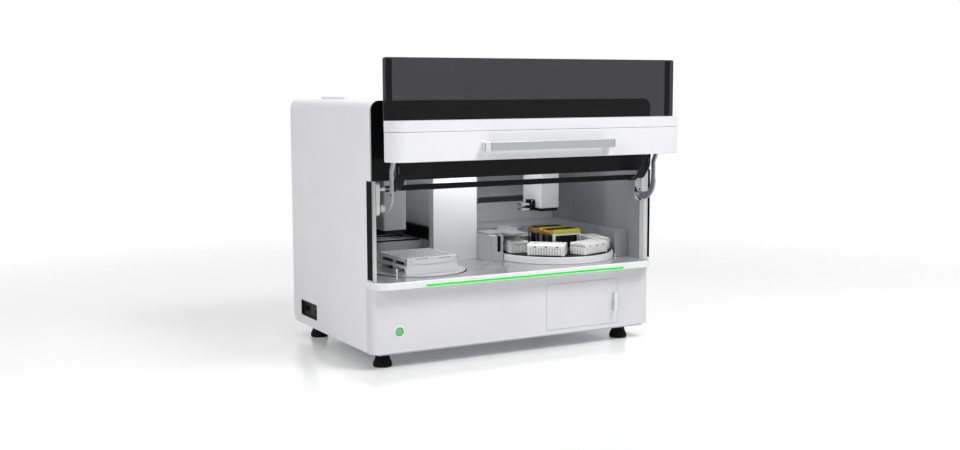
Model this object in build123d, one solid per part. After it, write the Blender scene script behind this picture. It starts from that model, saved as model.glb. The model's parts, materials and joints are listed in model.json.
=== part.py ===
"""Bench-top nucleic acid extractor: casing, work deck, carousel, heads and lift-up door.

Body coordinates: X runs across from the middle, Y runs back from the front panel and
Z runs up from the casing's underside. write_node moves each piece to the row frame,
whose origin is on the bench, under the centre of the whole machine.
"""
from build123d import *
import math
import os

# Casing
WIDTH = 780
DEPTH = 507
HEIGHT = 583
WALL = 4
SIDE_RADIUS = 25
FOOT_HEIGHT = 34
HALF = WIDTH / 2
DECK = 172
DECK_THICKNESS = 4
OPENING_TOP = 402
LIP_BOTTOM = 155.5
LIP_FRONT = -28
LIP_RADIUS = 38
WRAP_DEPTH = 33
INNER_HALF = 375
BACK_WALL_Y = 440
INNER_TOP = 560
POST_DEPTH = 25

# Door, shown raised
DOOR_HALF = 395
GLASS_HALF = 394
GLASS_REAR = -79
GLASS_BOTTOM = 528
GLASS_TOP = 677.5
BAR_FRONT = -126
BAR_REAR = -84
BAR_BOTTOM = 450
BAR_TOP = 540
BAR_SEAM = 515
BAR_RADIUS = 38
BAR_WALL = 3
HANDLE_HALF = 175
HANDLE_FRONT = -150
HANDLE_Z = (471, 491)

# Four-bar door linkage: places are (Y, Z)
UPPER_PIVOT = (10, 383)
LOWER_PIVOT = (10, 340)
ARM_REACH = 80
ARM_RISE = 126.4
PIN_RADIUS = 4
PIN_CLEARANCE = 0.05
OPEN_PIVOT_CLEARANCE = 0.6
LOWER_ARM_X = (359, 364)
UPPER_ARM_X = (324, 352)
RISER_X = 338
OUTER_EAR_X = (354, 357)
INNER_EAR_X = (334, 337)

# Carousel with six reagent racks and a tip rack
CAROUSEL = (202, 160)
DRUM_RADIUS = 153
DRUM_TOP = 190
DISC_TOP = 192
RACK_COUNT = 6
RACK_ANGLE = 18.9
RACK_RADIUS = 139
RACK_WIDTH = 94
RACK_DEPTH = 50
RACK_TOP = 222
TIP_RACK = (86, 128)
TIP_RACK_TOP = 249

# Turntable with the plate carrier
TURNTABLE = (-212, 122)
TURNTABLE_RADIUS = 114
TURNTABLE_TOP = 174.4
CARRIER = (138, 148)
CARRIER_SEAM = 182
CARRIER_TOP = 194
PLATE_TOP = 213

# Openings in the casing
BUTTON = (-322, 52.5)
BUTTON_RADIUS = 9
BEZEL_RADIUS = 14
DOOR_OPENING = (77.5, 291, 14.5, 129.5)
HINGE_LINE = (82.5, 4.5)
INLET_PANEL = (340, 450, 27, 67)


def block(x, y, z):
    """Box between the given (low, high) pairs."""
    size = Box(x[1] - x[0], y[1] - y[0], z[1] - z[0])
    return Pos((x[0] + x[1]) / 2, (y[0] + y[1]) / 2, (z[0] + z[1]) / 2) * size


def rod(start, end, radius):
    """Round bar between two points."""
    low = Vector(*start)
    line = Vector(*end) - low
    return extrude(Plane(origin=low, z_dir=line) * Circle(radius), line.length)


def disc(centre, radius, z):
    """Upright cylinder between two heights."""
    return Pos(centre[0], centre[1], z[0]) * extrude(Circle(radius), z[1] - z[0])


def along_x(sketch, x):
    """Extrude a (Y, Z) sketch between two X values."""
    return extrude(Plane.YZ.offset(x[0]) * sketch, x[1] - x[0])


def along_y(sketch, y):
    """Extrude an (X, Z) sketch between two Y values."""
    return extrude(Plane.XZ.offset(-y[1]) * sketch, y[1] - y[0])


def mirrored(shape):
    """The same piece on the other side of the machine."""
    return mirror(shape, about=Plane.YZ)


def group(shapes):
    """Several separate solids in one node."""
    return Compound(children=list(shapes))


def soften(shape, axis, radius):
    """Round the edges that run along one axis."""
    return fillet(shape.edges().filter_by(axis), radius)


def blunt(shape, axis, size):
    """Chamfer every edge that runs along one axis."""
    return chamfer(shape.edges().filter_by(axis), size)


# ---------------------------------------------------------------- casing

def base_pan():
    """Folded sheet pan with square foot holes and a row of air slots."""
    pan = block((-382, 382), (36, 500), (0, 18))
    pan -= block((-379, 379), (39, 497), (3, 18))
    pan += block((-374, 374), (5, 36), (0, 3))
    for x in range(-120, 121, 60):
        pan -= block((x - 20, x + 20), (330, 336), (0, 3))
    for x, y in foot_places():
        pan -= block((x - 5.2, x + 5.2), (y - 5.2, y + 5.2), (0, 3))
    return pan


def foot_places():
    """Centres of the four feet."""
    return [(x, y) for x in (-345, 327) for y in (46, 440)]


def levelling_feet():
    """Four black conical feet on threaded studs."""
    foot = Pos(0, 0, -FOOT_HEIGHT) * extrude(RegularPolygon(22.5, 24), FOOT_HEIGHT, taper=15)
    foot += disc((0, 0), 5, (0, 16))
    return group(Pos(x, y, 0) * foot for x, y in foot_places())


def side_panel():
    """Left side: an L-shaped moulding whose top edge is rounded."""
    outer = Pos(-HALF + 100, HEIGHT - 500) * Rectangle(200, 1000)
    outer = fillet(outer.vertices().sort_by(Axis.Y)[-2:].sort_by(Axis.X)[:1], SIDE_RADIUS)
    inner = offset(outer, -WALL)
    profile = outer - inner
    profile &= Pos(-HALF + 25, (HEIGHT + WALL) / 2) * Rectangle(50, HEIGHT - WALL)
    panel = along_y(profile, (3, 503))
    panel -= block((-HALF, -300), (0, WRAP_DEPTH), (0, DECK))
    panel -= block((-HALF, -300), (0, POST_DEPTH), (DECK, OPENING_TOP))
    low_rear = Pos(503 - 12.5, 12.5) * Rectangle(25, 25) - Pos(503 - 25, 4 + 25) * Circle(25)
    panel -= along_x(low_rear, (-HALF - 1, -HALF + 60))
    return panel


def left_side_panel():
    """Left side with the opening for the inlet panel."""
    y0, y1, z0, z1 = INLET_PANEL
    return side_panel() - block((-HALF - 1, -HALF + WALL + 1), (y0, y1), (z0, z1))


def right_side_panel():
    """Right side with a row of air slots low down."""
    panel = mirrored(side_panel())
    for y in range(330, 451, 12):
        panel -= block((HALF - WALL - 1, HALF + 1), (y, y + 5), (40, 100))
    return panel


def top_cover():
    """Flat top sheet between the side mouldings, open under the vent."""
    cover = block((-340, 340), (3, 503), (HEIGHT - WALL, HEIGHT))
    return cover - block((-312, 312), (306, 446), (HEIGHT - WALL, HEIGHT))


def top_vent_grille():
    """Raised lattice over the top opening."""
    plate = soften(block((-325, 325), (296, 456), (HEIGHT, HEIGHT + 6)), Axis.Z, 8)
    cell = Box(48, 20, 12)
    spots = GridLocations(52, 24, 12, 6)
    return plate - [Pos(0, 376, HEIGHT + 3) * place * cell for place in spots]


def rear_panel():
    """Back sheet with two fields of louvre slots and a fan opening."""
    outline = Pos(0, HEIGHT / 2) * RectangleRounded(2 * HALF - 4, HEIGHT - 4, 22)
    panel = along_y(outline, (503, DEPTH))
    slot = Box(90, 20, 5)
    for x in (-230, 230):
        spots = GridLocations(1, 16, 1, 9)
        panel -= [Pos(x, 505, 150) * Pos(0, 0, place.position.Y) * slot for place in spots]
    ring = along_y(Pos(0, 440) * (Circle(52) - Circle(16)), (500, 510))
    spokes = block((-60, 60), (500, 510), (436, 444)) + block((-4, 4), (500, 510), (380, 500))
    return panel - (ring - spokes)


def front_fascia():
    """Black front cover above the work opening, with a return along its lower edge."""
    outline = Pos(0, (OPENING_TOP + HEIGHT) / 2) * Rectangle(774, HEIGHT - OPENING_TOP)
    outline = fillet(outline.vertices().sort_by(Axis.Y)[-2:], 20)
    cover = along_y(outline, (0, 3))
    return cover + block((-374, 374), (3, 30), (OPENING_TOP, OPENING_TOP + 3))


def front_casing():
    """Lower front moulding that wraps round both sides, with door and button openings."""
    outer = Pos(0, 50) * Rectangle(WIDTH, 100)
    outer = fillet(outer.vertices().sort_by(Axis.Y)[:2], 14)
    wall = outer - offset(outer, -WALL)
    wall &= Pos(0, WRAP_DEPTH / 2) * Rectangle(WIDTH, WRAP_DEPTH)
    casing = Pos(0, 0, WALL) * extrude(wall, LIP_BOTTOM - WALL)
    x0, x1, z0, z1 = DOOR_OPENING
    casing -= block((x0, x1), (-1, 6), (z0, z1))
    casing -= along_y(Pos(*BUTTON) * Circle(12.2), (-1, 6))
    for low, high in ((z0 - 6.5, z0), (z1, z1 + 6.5)):
        casing += block((x0 - 6, x0 + 12), (3, 11), (low, high))
    pin_hole = disc(HINGE_LINE, 2.05, (z0 - 7, z0)) + disc(HINGE_LINE, 2.05, (z1, z1 + 7))
    return casing - pin_hole


def shelf_lip():
    """Rounded shelf along the deck's front edge, grooved for the light strip."""
    outline = Pos(0, (LIP_FRONT + WRAP_DEPTH) / 2) * Rectangle(WIDTH, WRAP_DEPTH - LIP_FRONT)
    outline = fillet(outline.vertices().sort_by(Axis.Y)[:2], LIP_RADIUS)
    lip = Pos(0, 0, LIP_BOTTOM) * extrude(outline, DECK - LIP_BOTTOM)
    front_edges = [edge for edge in lip.edges().group_by(Axis.Z)[-1] if edge.center().Y < 20]
    return chamfer(front_edges, 1.5) - led_space()


def led_space():
    """Place of the light strip."""
    return block((-266, 290), (LIP_FRONT - 1, LIP_FRONT + 3), (157.5, 162))


def led_strip():
    """Green light strip, flush with the shelf's front."""
    return led_space() & block((-HALF, HALF), (LIP_FRONT, 0), (0, DECK))


def deck_plate():
    """Work deck with a shaft hole under each turning platform."""
    deck = block((-386, 386), (WRAP_DEPTH, BACK_WALL_Y), (DECK - DECK_THICKNESS, DECK))
    for centre in (CAROUSEL, TURNTABLE):
        deck -= disc(centre, 10.4, (DECK - DECK_THICKNESS, DECK))
    return deck


def front_posts():
    """Upright posts at both sides of the work opening."""
    post = blunt(block((-388, -INNER_HALF), (3.5, POST_DEPTH), (DECK, OPENING_TOP)), Axis.Z, 2)
    return group((post, mirrored(post)))


def edge_seals():
    """Black seals along the outer edges of the work opening."""
    seal = block((-HALF, -388), (-0.5, POST_DEPTH), (176, OPENING_TOP))
    return group((seal, mirrored(seal)))


def inner_walls():
    """Side walls of the work space, each with a shallow pressed field."""
    wall = block((-INNER_HALF - 3, -INNER_HALF), (POST_DEPTH, BACK_WALL_Y), (DECK, INNER_TOP))
    wall -= block((-INNER_HALF - 1, -INNER_HALF), (150, 330), (250, 380))
    return group((wall, mirrored(wall)))


def back_wall():
    """Back wall of the work space with the long arm slot."""
    wall = block((-INNER_HALF, INNER_HALF), (BACK_WALL_Y, BACK_WALL_Y + 3), (DECK, INNER_TOP))
    return wall - block((20, 330), (BACK_WALL_Y, BACK_WALL_Y + 3), (292, 308))


def centre_column():
    """Folded upright channel between the two work areas, with the drive box behind it."""
    column = block((-115, 10), (230, 256), (DECK, INNER_TOP))
    column -= block((-111, 6), (234, 257), (DECK, 258))
    return column + soften(block((-111, 6), (256, BACK_WALL_Y), (258, INNER_TOP)), Axis.Y, 3)


# ---------------------------------------------------------------- right work area

def rear_platform():
    """Hollow raised deck whose front edge follows the carousel."""
    plan = Pos(193.5, 370) * Rectangle(363, 140) + Pos(352.5, 186) * Rectangle(45, 228)
    plan += Pos(300, 280) * Rectangle(60, 60)
    plan -= Pos(*CAROUSEL) * Circle(158)
    hollow = offset(plan, -WALL)
    platform = Pos(0, 0, DECK) * extrude(plan, 68)
    platform -= Pos(0, 0, DECK) * extrude(hollow, 64)
    return platform - block((150, 175), (345, 352), (230, 250))


def carousel_block():
    """Block beside the carousel with a notch in its front."""
    body = blunt(block((11, 46), (154, 240), (DECK, 238)), Axis.Z, 2)
    return body - block((28, 40), (150, 172), (195, 239))


def fan_cover():
    """Fan-shaped plate over the left of the carousel."""
    ring = Circle(151) - Circle(96)
    angles = (118, 192)
    corners = [(260 * math.cos(math.radians(a)), 260 * math.sin(math.radians(a))) for a in angles]
    wedge = make_face(Polyline((0, 0), *corners, close=True))
    plate = Pos(CAROUSEL[0], CAROUSEL[1], 238) * extrude(ring & wedge, 5)
    return plate + block((11, 60), (170, 238), (238, 243))


def carousel_drum():
    """White carousel body with its hub through the deck."""
    drum = disc(CAROUSEL, DRUM_RADIUS, (DECK + 0.5, DRUM_TOP))
    return drum + disc(CAROUSEL, 10, (DECK - 22, DECK + 1))


def carousel_disc():
    """Black top disc that locates the racks."""
    return disc(CAROUSEL, DRUM_RADIUS - 5, (DRUM_TOP, DISC_TOP))


def reagent_rack():
    """One ribbed rack, front face towards -Y, centred on the origin."""
    half = RACK_WIDTH / 2
    height = RACK_TOP - DISC_TOP
    end = Polyline((0, 0), (RACK_DEPTH, 0), (RACK_DEPTH, height), (4, height), (0, height - 5),
                   close=True)
    rack = along_x(make_face(end), (-half, half))
    rack = blunt(rack, Axis.Z, 2)
    for step in range(9):
        x = -half + 9 + step * 9.5
        rack -= block((x - 1.2, x + 1.2), (-1, 1.5), (0, 17))
    for x in (-26, 0, 26):
        rack -= block((x - 3, x + 3), (-1, 5), (20, 24))
    for step in range(8):
        x = -half + 12 + step * 10
        rack -= block((x - 3.5, x + 3.5), (12, RACK_DEPTH - 8), (8, 60))
    return rack


def reagent_racks():
    """Six racks spaced evenly round the carousel."""
    rack = reagent_rack()
    racks = []
    for step in range(RACK_COUNT):
        turn = Rot(0, 0, RACK_ANGLE + step * 360 / RACK_COUNT)
        racks.append(Pos(*CAROUSEL, DISC_TOP) * turn * Pos(0, -RACK_RADIUS, 0) * rack)
    return group(racks)


def tip_rack_frame():
    """Grey frame with four posts that carries two tip trays."""
    width, depth = TIP_RACK
    outline = blunt(block((-width / 2, width / 2), (-depth / 2, depth / 2), (DISC_TOP, 239)), Axis.Z, 4)
    frame = outline - block((-width / 2 + 3, width / 2 - 3), (-depth / 2 + 3, depth / 2 - 3), (196, 240))
    for y in (-32, 32):
        frame -= block((-width, width), (y - 26, y + 26), (198, 234))
    frame -= block((-width / 2 + 7, width / 2 - 7), (-depth, depth), (198, 234))
    return Pos(*CAROUSEL, 0) * frame


def tip_trays():
    """Two trays of covered tips side by side in the frame."""
    width, depth = TIP_RACK
    tray = block((-width / 2, width / 2), (-depth / 4 + 1, depth / 4 - 1), (239, TIP_RACK_TOP))
    tray = blunt(tray, Axis.Z, 3)
    tray = chamfer(tray.edges().group_by(Axis.Z)[-1], 2)
    trays = [Pos(CAROUSEL[0], CAROUSEL[1] + y, 0) * tray for y in (-depth / 4, depth / 4)]
    return group(trays)


def pipette_tips():
    """Two blocks of closely packed tips hanging from the trays."""
    blocks = []
    for y in (-32, 32):
        tips = block((-36, 36), (y - 24, y + 24), (200, 239))
        for step in range(-3, 4):
            tips -= block((step * 9 + 3.5, step * 9 + 5.5), (y - 25, y + 25), (200, 226))
        blocks.append(Pos(*CAROUSEL, 0) * tips)
    return group(blocks)


# ---------------------------------------------------------------- left work area

def turntable_disc():
    """Flat turning disc with its hub through the deck."""
    top = disc(TURNTABLE, TURNTABLE_RADIUS, (DECK + 0.4, TURNTABLE_TOP))
    return top + disc(TURNTABLE, 10, (DECK - 22, DECK + 1))


def plate_carrier():
    """Two-tier carrier with windows in its sides."""
    width, depth = CARRIER
    body = block((-width / 2, width / 2), (-depth / 2, depth / 2), (CARRIER_SEAM, CARRIER_TOP))
    body += block((1 - width / 2, width / 2 - 1), (1 - depth / 2, depth / 2 - 1),
                  (TURNTABLE_TOP, CARRIER_SEAM))
    body = blunt(body, Axis.Z, 2)
    return Pos(*TURNTABLE, 0) * (body - side_windows((177, 187)))


def side_windows(z):
    """Two long windows in each side of the carrier or the plate."""
    edge = CARRIER[0] / 2
    windows = [block(x, y, z) for x in ((-edge - 1, -edge + 18), (edge - 18, edge + 1))
               for y in ((-66, -14), (-2, 60))]
    return windows[0] + windows[1] + windows[2] + windows[3]


def well_plate():
    """Well plate with tapered wells, windows in its skirt and a crescent grip under the front edge."""
    width, depth = CARRIER
    plate = block((-width / 2, width / 2), (-depth / 2, depth / 2), (CARRIER_TOP, PLATE_TOP))
    plate = blunt(plate, Axis.Z, 2)
    plate -= side_windows((195.5, 203.5))
    well = loft([Rectangle(8.4, 8.4).face(), Vertex(0, 0, -12)])
    plate -= [Pos(0, 4, PLATE_TOP) * place * well for place in GridLocations(11, 11, 12, 12)]
    grip = Pos(0, -depth / 2 - 90, 0) * extrude(Circle(98), 5)
    plate -= Pos(0, 0, CARRIER_TOP + 5) * grip
    return Pos(*TURNTABLE, 0) * plate


# ---------------------------------------------------------------- heads

def left_head():
    """Left head: rounded cover over a black base plate."""
    cover = soften(block((-273, -210), (190, 283.6), (264, 500)), Axis.Z, 5)
    return cover + block((-256, -227), (279, 283.6), (300, 420))


def left_head_base():
    """Black base plate under the left head."""
    return blunt(block((-270, -213), (193, 277), (254, 264)), Axis.Z, 3)


def right_head():
    """Right head: rounded cover."""
    return soften(block((154, 212), (150, 239.6), (301, 500)), Axis.Z, 5)


def right_head_base():
    """Black base plate under the right head."""
    return blunt(block((157, 209), (153, 236), (293, 301)), Axis.Z, 3)


def gantry_rails():
    """Cross rail of the right head and upright rail of the left head."""
    cross = soften(block((6, INNER_HALF), (264, 284), (430, 470)), Axis.X, 2)
    upright = block((-252, -231), (284, 294), (300, HEIGHT - WALL))
    return group((cross, upright))


def head_carriage():
    """Saddle that runs on the cross rail and guides the right head."""
    saddle = block((163, 203), (240, 290), (415, 485))
    return saddle - block((160, 206), (263.7, 284.3), (429.7, 470.3))


def gripper_body():
    """Gripper block with its knob, on the left of the right head."""
    body = blunt(block((138, 154), (176, 200), (294, 322)), Axis.Z, 2)
    return body + rod((146, 176, 316), (146, 170, 316), 5)


def gripper_jaw(z):
    """One flat jaw of the gripper with a turned tip."""
    jaw = block((114, 137.9), (178, 198), z)
    tip = block((114, 117), (178, 198), (z[0] - 0.8, z[1] + 0.8))
    return jaw + tip


# ---------------------------------------------------------------- services

def inlet_panel():
    """Recessed dark panel on the left side, with a square data port and the socket opening."""
    y0, y1, z0, z1 = INLET_PANEL
    tray = block((-HALF + 0.5, -HALF + 9), (y0, y1), (z0, z1))
    tray -= block((-HALF, -HALF + 7), (y0 + 2, y1 - 2), (z0 + 2, z1 - 2))
    tray -= block((-HALF, -HALF + 10), (408, 436), (37, 57))
    tray += block((-383, -372), (358, 372), (40, 54))
    return tray - block((-384, -374), (360, 370), (42, 52))


def power_inlet():
    """Three-pin appliance inlet."""
    body = blunt(block((-383, -358), (408.2, 435.8), (37.2, 56.8)), Axis.X, 2)
    body -= block((-384, -366), (410, 434), (39, 55))
    for y, z in ((415, 45), (422, 49), (429, 45)):
        body += block((-374, -366), (y - 1, y + 1), (z - 2, z + 2))
    return body


def button_bezel():
    """Round bezel that guides the power button."""
    ring = Circle(BEZEL_RADIUS) - Circle(BUTTON_RADIUS + 0.4)
    barrel = RegularPolygon(12, 8) - Circle(BUTTON_RADIUS + 0.4)
    bezel = along_y(Pos(*BUTTON) * ring, (-1.5, 0)) + along_y(Pos(*BUTTON) * barrel, (0, 20))
    return bezel + along_y(Pos(*BUTTON) * RegularPolygon(12, 8), (20, 22))


def power_button():
    """Round push button that travels into its bezel."""
    return along_y(Pos(*BUTTON) * Circle(BUTTON_RADIUS), (-2.5, 15))


def access_door():
    """Flush door with a stiffening fold, and a hinge barrel with moulded pins on its left edge."""
    x0, x1, z0, z1 = DOOR_OPENING
    barrel = disc(HINGE_LINE, 4.5, (z0 + 0.8, z1 - 0.8))
    skin = block((HINGE_LINE[0], x1 - 0.8), (0, 3), (z0 + 0.8, z1 - 0.8))
    door = barrel + skin
    door += block((x1 - 4, x1 - 0.8), (0, 10), (z0 + 0.8, z1 - 0.8))
    for low in (z0 + 0.8, z1 - 3.8):
        door += block((HINGE_LINE[0], x1 - 0.8), (0, 9), (low, low + 3))
    return door + disc(HINGE_LINE, 2, (z0 - 5, z1 + 5))


def access_handle():
    """Upright bow handle on the access door."""
    bow = block((275, 281), (-18, 0), (46.6, 94.3))
    bow -= block((274, 282), (-12, 0), (52, 89))
    return fillet(bow.edges().filter_by(Axis.X).sort_by(Axis.Y)[:2], 4)


def waste_bin():
    """Open bin behind the access door."""
    bin_body = soften(block((92, 280), (14, 128), (18.5, 122)), Axis.Z, 8)
    return bin_body - block((95, 277), (17, 125), (21.5, 122))


def drive_motors():
    """Motors under the carousel and the turntable."""
    motors = []
    for x, y in (CAROUSEL, TURNTABLE):
        motor = block((x - 28, x + 28), (y - 28, y + 28), (105, DECK - DECK_THICKNESS))
        motors.append(motor - block((x - 18, x + 18), (y - 29, y + 29), (145, 170)))
    return group(motors)


def power_supply():
    """Enclosed supply on the pan, near the inlet."""
    return blunt(block((-350, -200), (330, 430), (3, 60)), Axis.Z, 2)


def control_board():
    """Control board on spacers in the pan."""
    board = block((-120, 80), (300, 440), (11, 13))
    for x, y in ((-110, 310), (70, 310), (-110, 430), (70, 430)):
        board += block((x - 4, x + 4), (y - 4, y + 4), (3, 11))
    for x in (-80, -20, 40):
        board += block((x, x + 26), (340, 366), (13, 18))
    return board


# ---------------------------------------------------------------- door

def bar_outline(inset):
    """Plan outline of the door bar, its front corners rounded."""
    half = DOOR_HALF - inset
    front = BAR_FRONT + inset
    outline = Pos(0, (front + BAR_REAR) / 2) * Rectangle(2 * half, BAR_REAR - front)
    return fillet(outline.vertices().sort_by(Axis.Y)[:2], BAR_RADIUS - inset)


def door_bar():
    """Hollow white bar along the door's lower edge."""
    bar = Pos(0, 0, BAR_BOTTOM) * extrude(bar_outline(0), BAR_SEAM - BAR_BOTTOM)
    hollow = bar_outline(BAR_WALL) + Pos(0, BAR_REAR) * Rectangle(2 * (DOOR_HALF - BAR_WALL), 6)
    return bar - Pos(0, 0, BAR_BOTTOM + BAR_WALL) * extrude(hollow, BAR_SEAM)


def door_bar_cap():
    """Upper trim of the bar, above the seam."""
    cap = Pos(0, 0, BAR_SEAM + 0.8) * extrude(bar_outline(0), BAR_TOP - BAR_SEAM - 0.8)
    cap += Pos(0, 0, BAR_SEAM) * extrude(bar_outline(BAR_WALL), 1)
    hollow = bar_outline(BAR_WALL + 1) + Pos(0, BAR_REAR) * Rectangle(2 * (DOOR_HALF - 4), 8)
    return cap - Pos(0, 0, BAR_SEAM - 1) * extrude(hollow, BAR_TOP - BAR_SEAM - 2)


def door_window():
    """Tinted pane."""
    pane = Pos(0, (GLASS_BOTTOM + GLASS_TOP) / 2) * Rectangle(2 * GLASS_HALF, GLASS_TOP - GLASS_BOTTOM)
    pane = fillet(pane.vertices().sort_by(Axis.Y)[-2:], 6)
    return along_y(pane, (GLASS_REAR - 4, GLASS_REAR))


def door_stiffeners():
    """Dark strips behind the pane's upright edges."""
    strip = block((-386, -372), (GLASS_REAR, GLASS_REAR + 3), (GLASS_BOTTOM + 1, GLASS_TOP - 3))
    return group((strip, mirrored(strip)))


def door_rear_plate():
    """Plate that closes the bar and carries two pairs of hinge ears."""
    plate = block((-385, 385), (-84, -80), (452, 527.5))
    for x0, x1 in (OUTER_EAR_X, INNER_EAR_X):
        ear = door_ear((x0, x1), x0 == OUTER_EAR_X[0])
        plate += ear + mirrored(ear)
    return plate


def door_ear(x, with_lower):
    """One ear with its pin holes, on the right of the machine."""
    y = UPPER_PIVOT[0] - ARM_REACH
    upper = UPPER_PIVOT[1] + ARM_RISE
    lower = LOWER_PIVOT[1] + ARM_RISE
    low = lower - 11 if with_lower else upper - 11
    sketch = Pos((-80 + y + 8) / 2, (low + upper + 11) / 2) * Rectangle(y + 88, upper + 11 - low)
    sketch = chamfer(sketch.vertices().sort_by(Axis.X)[-2:], 5)
    for z in (upper, lower) if with_lower else (upper,):
        sketch -= Pos(y, z) * Circle(PIN_RADIUS + PIN_CLEARANCE)
    return along_x(sketch, x)


def door_handle():
    """Long pull handle with two end posts."""
    z0, z1 = HANDLE_Z
    bar = block((-HANDLE_HALF, HANDLE_HALF), (HANDLE_FRONT, BAR_FRONT), (z0, z1))
    bar -= block((-HANDLE_HALF + 12, HANDLE_HALF - 12), (HANDLE_FRONT + 10, BAR_FRONT), (z0, z1))
    return fillet(bar.edges().filter_by(Axis.X).sort_by(Axis.Y)[:2], 4)


# ---------------------------------------------------------------- door linkage

def arm_point(pivot, reach, rise):
    """Place at a reach to the front and a rise above a fixed pivot."""
    return (pivot[0] - reach, pivot[1] + rise)


def lower_arm():
    """Right lower arm: a crescent from the fixed pivot and a riser to the door."""
    start = arm_point(LOWER_PIVOT, 0, 0)
    bend = arm_point(LOWER_PIVOT, 60, 40)
    knee = arm_point(LOWER_PIVOT, 60, 86)
    end = arm_point(LOWER_PIVOT, ARM_REACH, ARM_RISE)
    outer = ThreePointArc(start, arm_point(LOWER_PIVOT, 42, 4), bend)
    crescent = make_face(offset(outer, 7.5))
    riser = make_face(offset(Polyline(bend, knee, end), 5.5, kind=Kind.INTERSECTION))
    sketch = crescent + riser + Pos(*start) * Circle(9) + Pos(*end) * Circle(8)
    sketch -= Pos(*start) * Circle(PIN_RADIUS + PIN_CLEARANCE)
    sketch -= Pos(*end) * Circle(PIN_RADIUS + OPEN_PIVOT_CLEARANCE)
    sketch -= Pos(*arm_point(LOWER_PIVOT, 60, 60)) * SlotOverall(14, 3.5, rotation=90)
    return along_x(sketch, LOWER_ARM_X)


def upper_arm():
    """Right upper arm: a strip bent round the fascia's lower edge, narrow above and wide below."""
    start = arm_point(UPPER_PIVOT, 0, 0)
    end = arm_point(UPPER_PIVOT, ARM_REACH, ARM_RISE)
    middle = [arm_point(UPPER_PIVOT, *place) for place in ((32, 2), (58, 34), (61, 92))]
    strip = make_face(offset(FilletPolyline(start, *middle, end, radius=22), 2.5))
    sketch = strip + Pos(*start) * Circle(7) + Pos(*end) * Circle(7)
    for centre in (start, end):
        sketch -= Pos(*centre) * Circle(PIN_RADIUS + PIN_CLEARANCE)
    return along_x(sketch, UPPER_ARM_X) & arm_front_view()


def arm_front_view():
    """Front outline of the upper arm: a narrow slotted riser that flares into a wide root."""
    inner, outer = UPPER_ARM_X
    flare = Polyline((inner, 360), (outer, 360), (outer, 530), (RISER_X, 530), (RISER_X, 440),
                     (inner, 404), close=True)
    face = make_face(flare) - Pos((RISER_X + outer) / 2, 428) * Rectangle(4, 18)
    return along_y(face, (-130, 60))


def crossbar():
    """Dark bar that ties the two upper arms together."""
    y, z = arm_point(UPPER_PIVOT, 16, 2.5)
    section = Pos(y, z) * RectangleRounded(6, 13, 2)
    return along_x(section, (-UPPER_ARM_X[0], UPPER_ARM_X[0]))


def hinge_brackets():
    """Grey brackets on the posts with riveted studs for the arms."""
    sketch = Pos(17.5, 361) * Rectangle(29, 74)
    sketch = chamfer(sketch.vertices(), 5)
    bracket = along_x(sketch, (366, INNER_HALF))
    bracket += rod((UPPER_ARM_X[0] - 1, *UPPER_PIVOT), (367, *UPPER_PIVOT), PIN_RADIUS)
    bracket += rod((LOWER_ARM_X[0] - 1, *LOWER_PIVOT), (367, *LOWER_PIVOT), PIN_RADIUS)
    return group((bracket, mirrored(bracket)))


def door_pins():
    """Pins in the door's ears."""
    pins = []
    for pivot, span in ((UPPER_PIVOT, (INNER_EAR_X[0] - 1, OUTER_EAR_X[1] + 1)),
                        (LOWER_PIVOT, (OUTER_EAR_X[0] - 1, LOWER_ARM_X[1] + 1))):
        place = arm_point(pivot, ARM_REACH, ARM_RISE)
        pin = rod((span[0], *place), (span[1], *place), PIN_RADIUS)
        pins += [pin, mirrored(pin)]
    return group(pins)


# ---------------------------------------------------------------- output

def write_node(name, shape):
    """Move a piece to the row frame and write it."""
    middle = (HANDLE_FRONT + DEPTH) / 2
    placed = Pos(0, -middle, FOOT_HEIGHT) * shape
    placed.label = name
    export_step(placed, f"parts/{name}.step")


def all_nodes():
    """Every piece of the machine by its node name."""
    return {
        "base_pan": base_pan(),
        "levelling_feet": levelling_feet(),
        "left_side_panel": left_side_panel(),
        "right_side_panel": right_side_panel(),
        "top_cover": top_cover(),
        "top_vent_grille": top_vent_grille(),
        "rear_panel": rear_panel(),
        "front_fascia": front_fascia(),
        "front_casing": front_casing(),
        "shelf_lip": shelf_lip(),
        "led_strip": led_strip(),
        "deck_plate": deck_plate(),
        "front_posts": front_posts(),
        "edge_seals": edge_seals(),
        "inner_walls": inner_walls(),
        "back_wall": back_wall(),
        "centre_column": centre_column(),
        "rear_platform": rear_platform(),
        "carousel_block": carousel_block(),
        "fan_cover": fan_cover(),
        "carousel_drum": carousel_drum(),
        "carousel_disc": carousel_disc(),
        "reagent_racks": reagent_racks(),
        "tip_rack_frame": tip_rack_frame(),
        "tip_trays": tip_trays(),
        "pipette_tips": pipette_tips(),
        "turntable_disc": turntable_disc(),
        "plate_carrier": plate_carrier(),
        "well_plate": well_plate(),
        "left_head": left_head(),
        "left_head_base": left_head_base(),
        "right_head": right_head(),
        "right_head_base": right_head_base(),
        "gantry_rails": gantry_rails(),
        "head_carriage": head_carriage(),
        "gripper_body": gripper_body(),
        "gripper_upper_jaw": gripper_jaw((308, 313)),
        "gripper_lower_jaw": gripper_jaw((295.5, 300.5)),
        "inlet_panel": inlet_panel(),
        "power_inlet": power_inlet(),
        "button_bezel": button_bezel(),
        "power_button": power_button(),
        "access_door": access_door(),
        "access_handle": access_handle(),
        "waste_bin": waste_bin(),
        "drive_motors": drive_motors(),
        "power_supply": power_supply(),
        "control_board": control_board(),
        "door_bar": door_bar(),
        "door_bar_cap": door_bar_cap(),
        "door_window": door_window(),
        "door_stiffeners": door_stiffeners(),
        "door_rear_plate": door_rear_plate(),
        "door_handle": door_handle(),
        "door_pins": door_pins(),
        "hinge_brackets": hinge_brackets(),
        "left_lower_arm": mirrored(lower_arm()),
        "right_lower_arm": lower_arm(),
        "upper_arms": group((upper_arm(), mirrored(upper_arm()))),
        "crossbar": crossbar(),
    }


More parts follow.
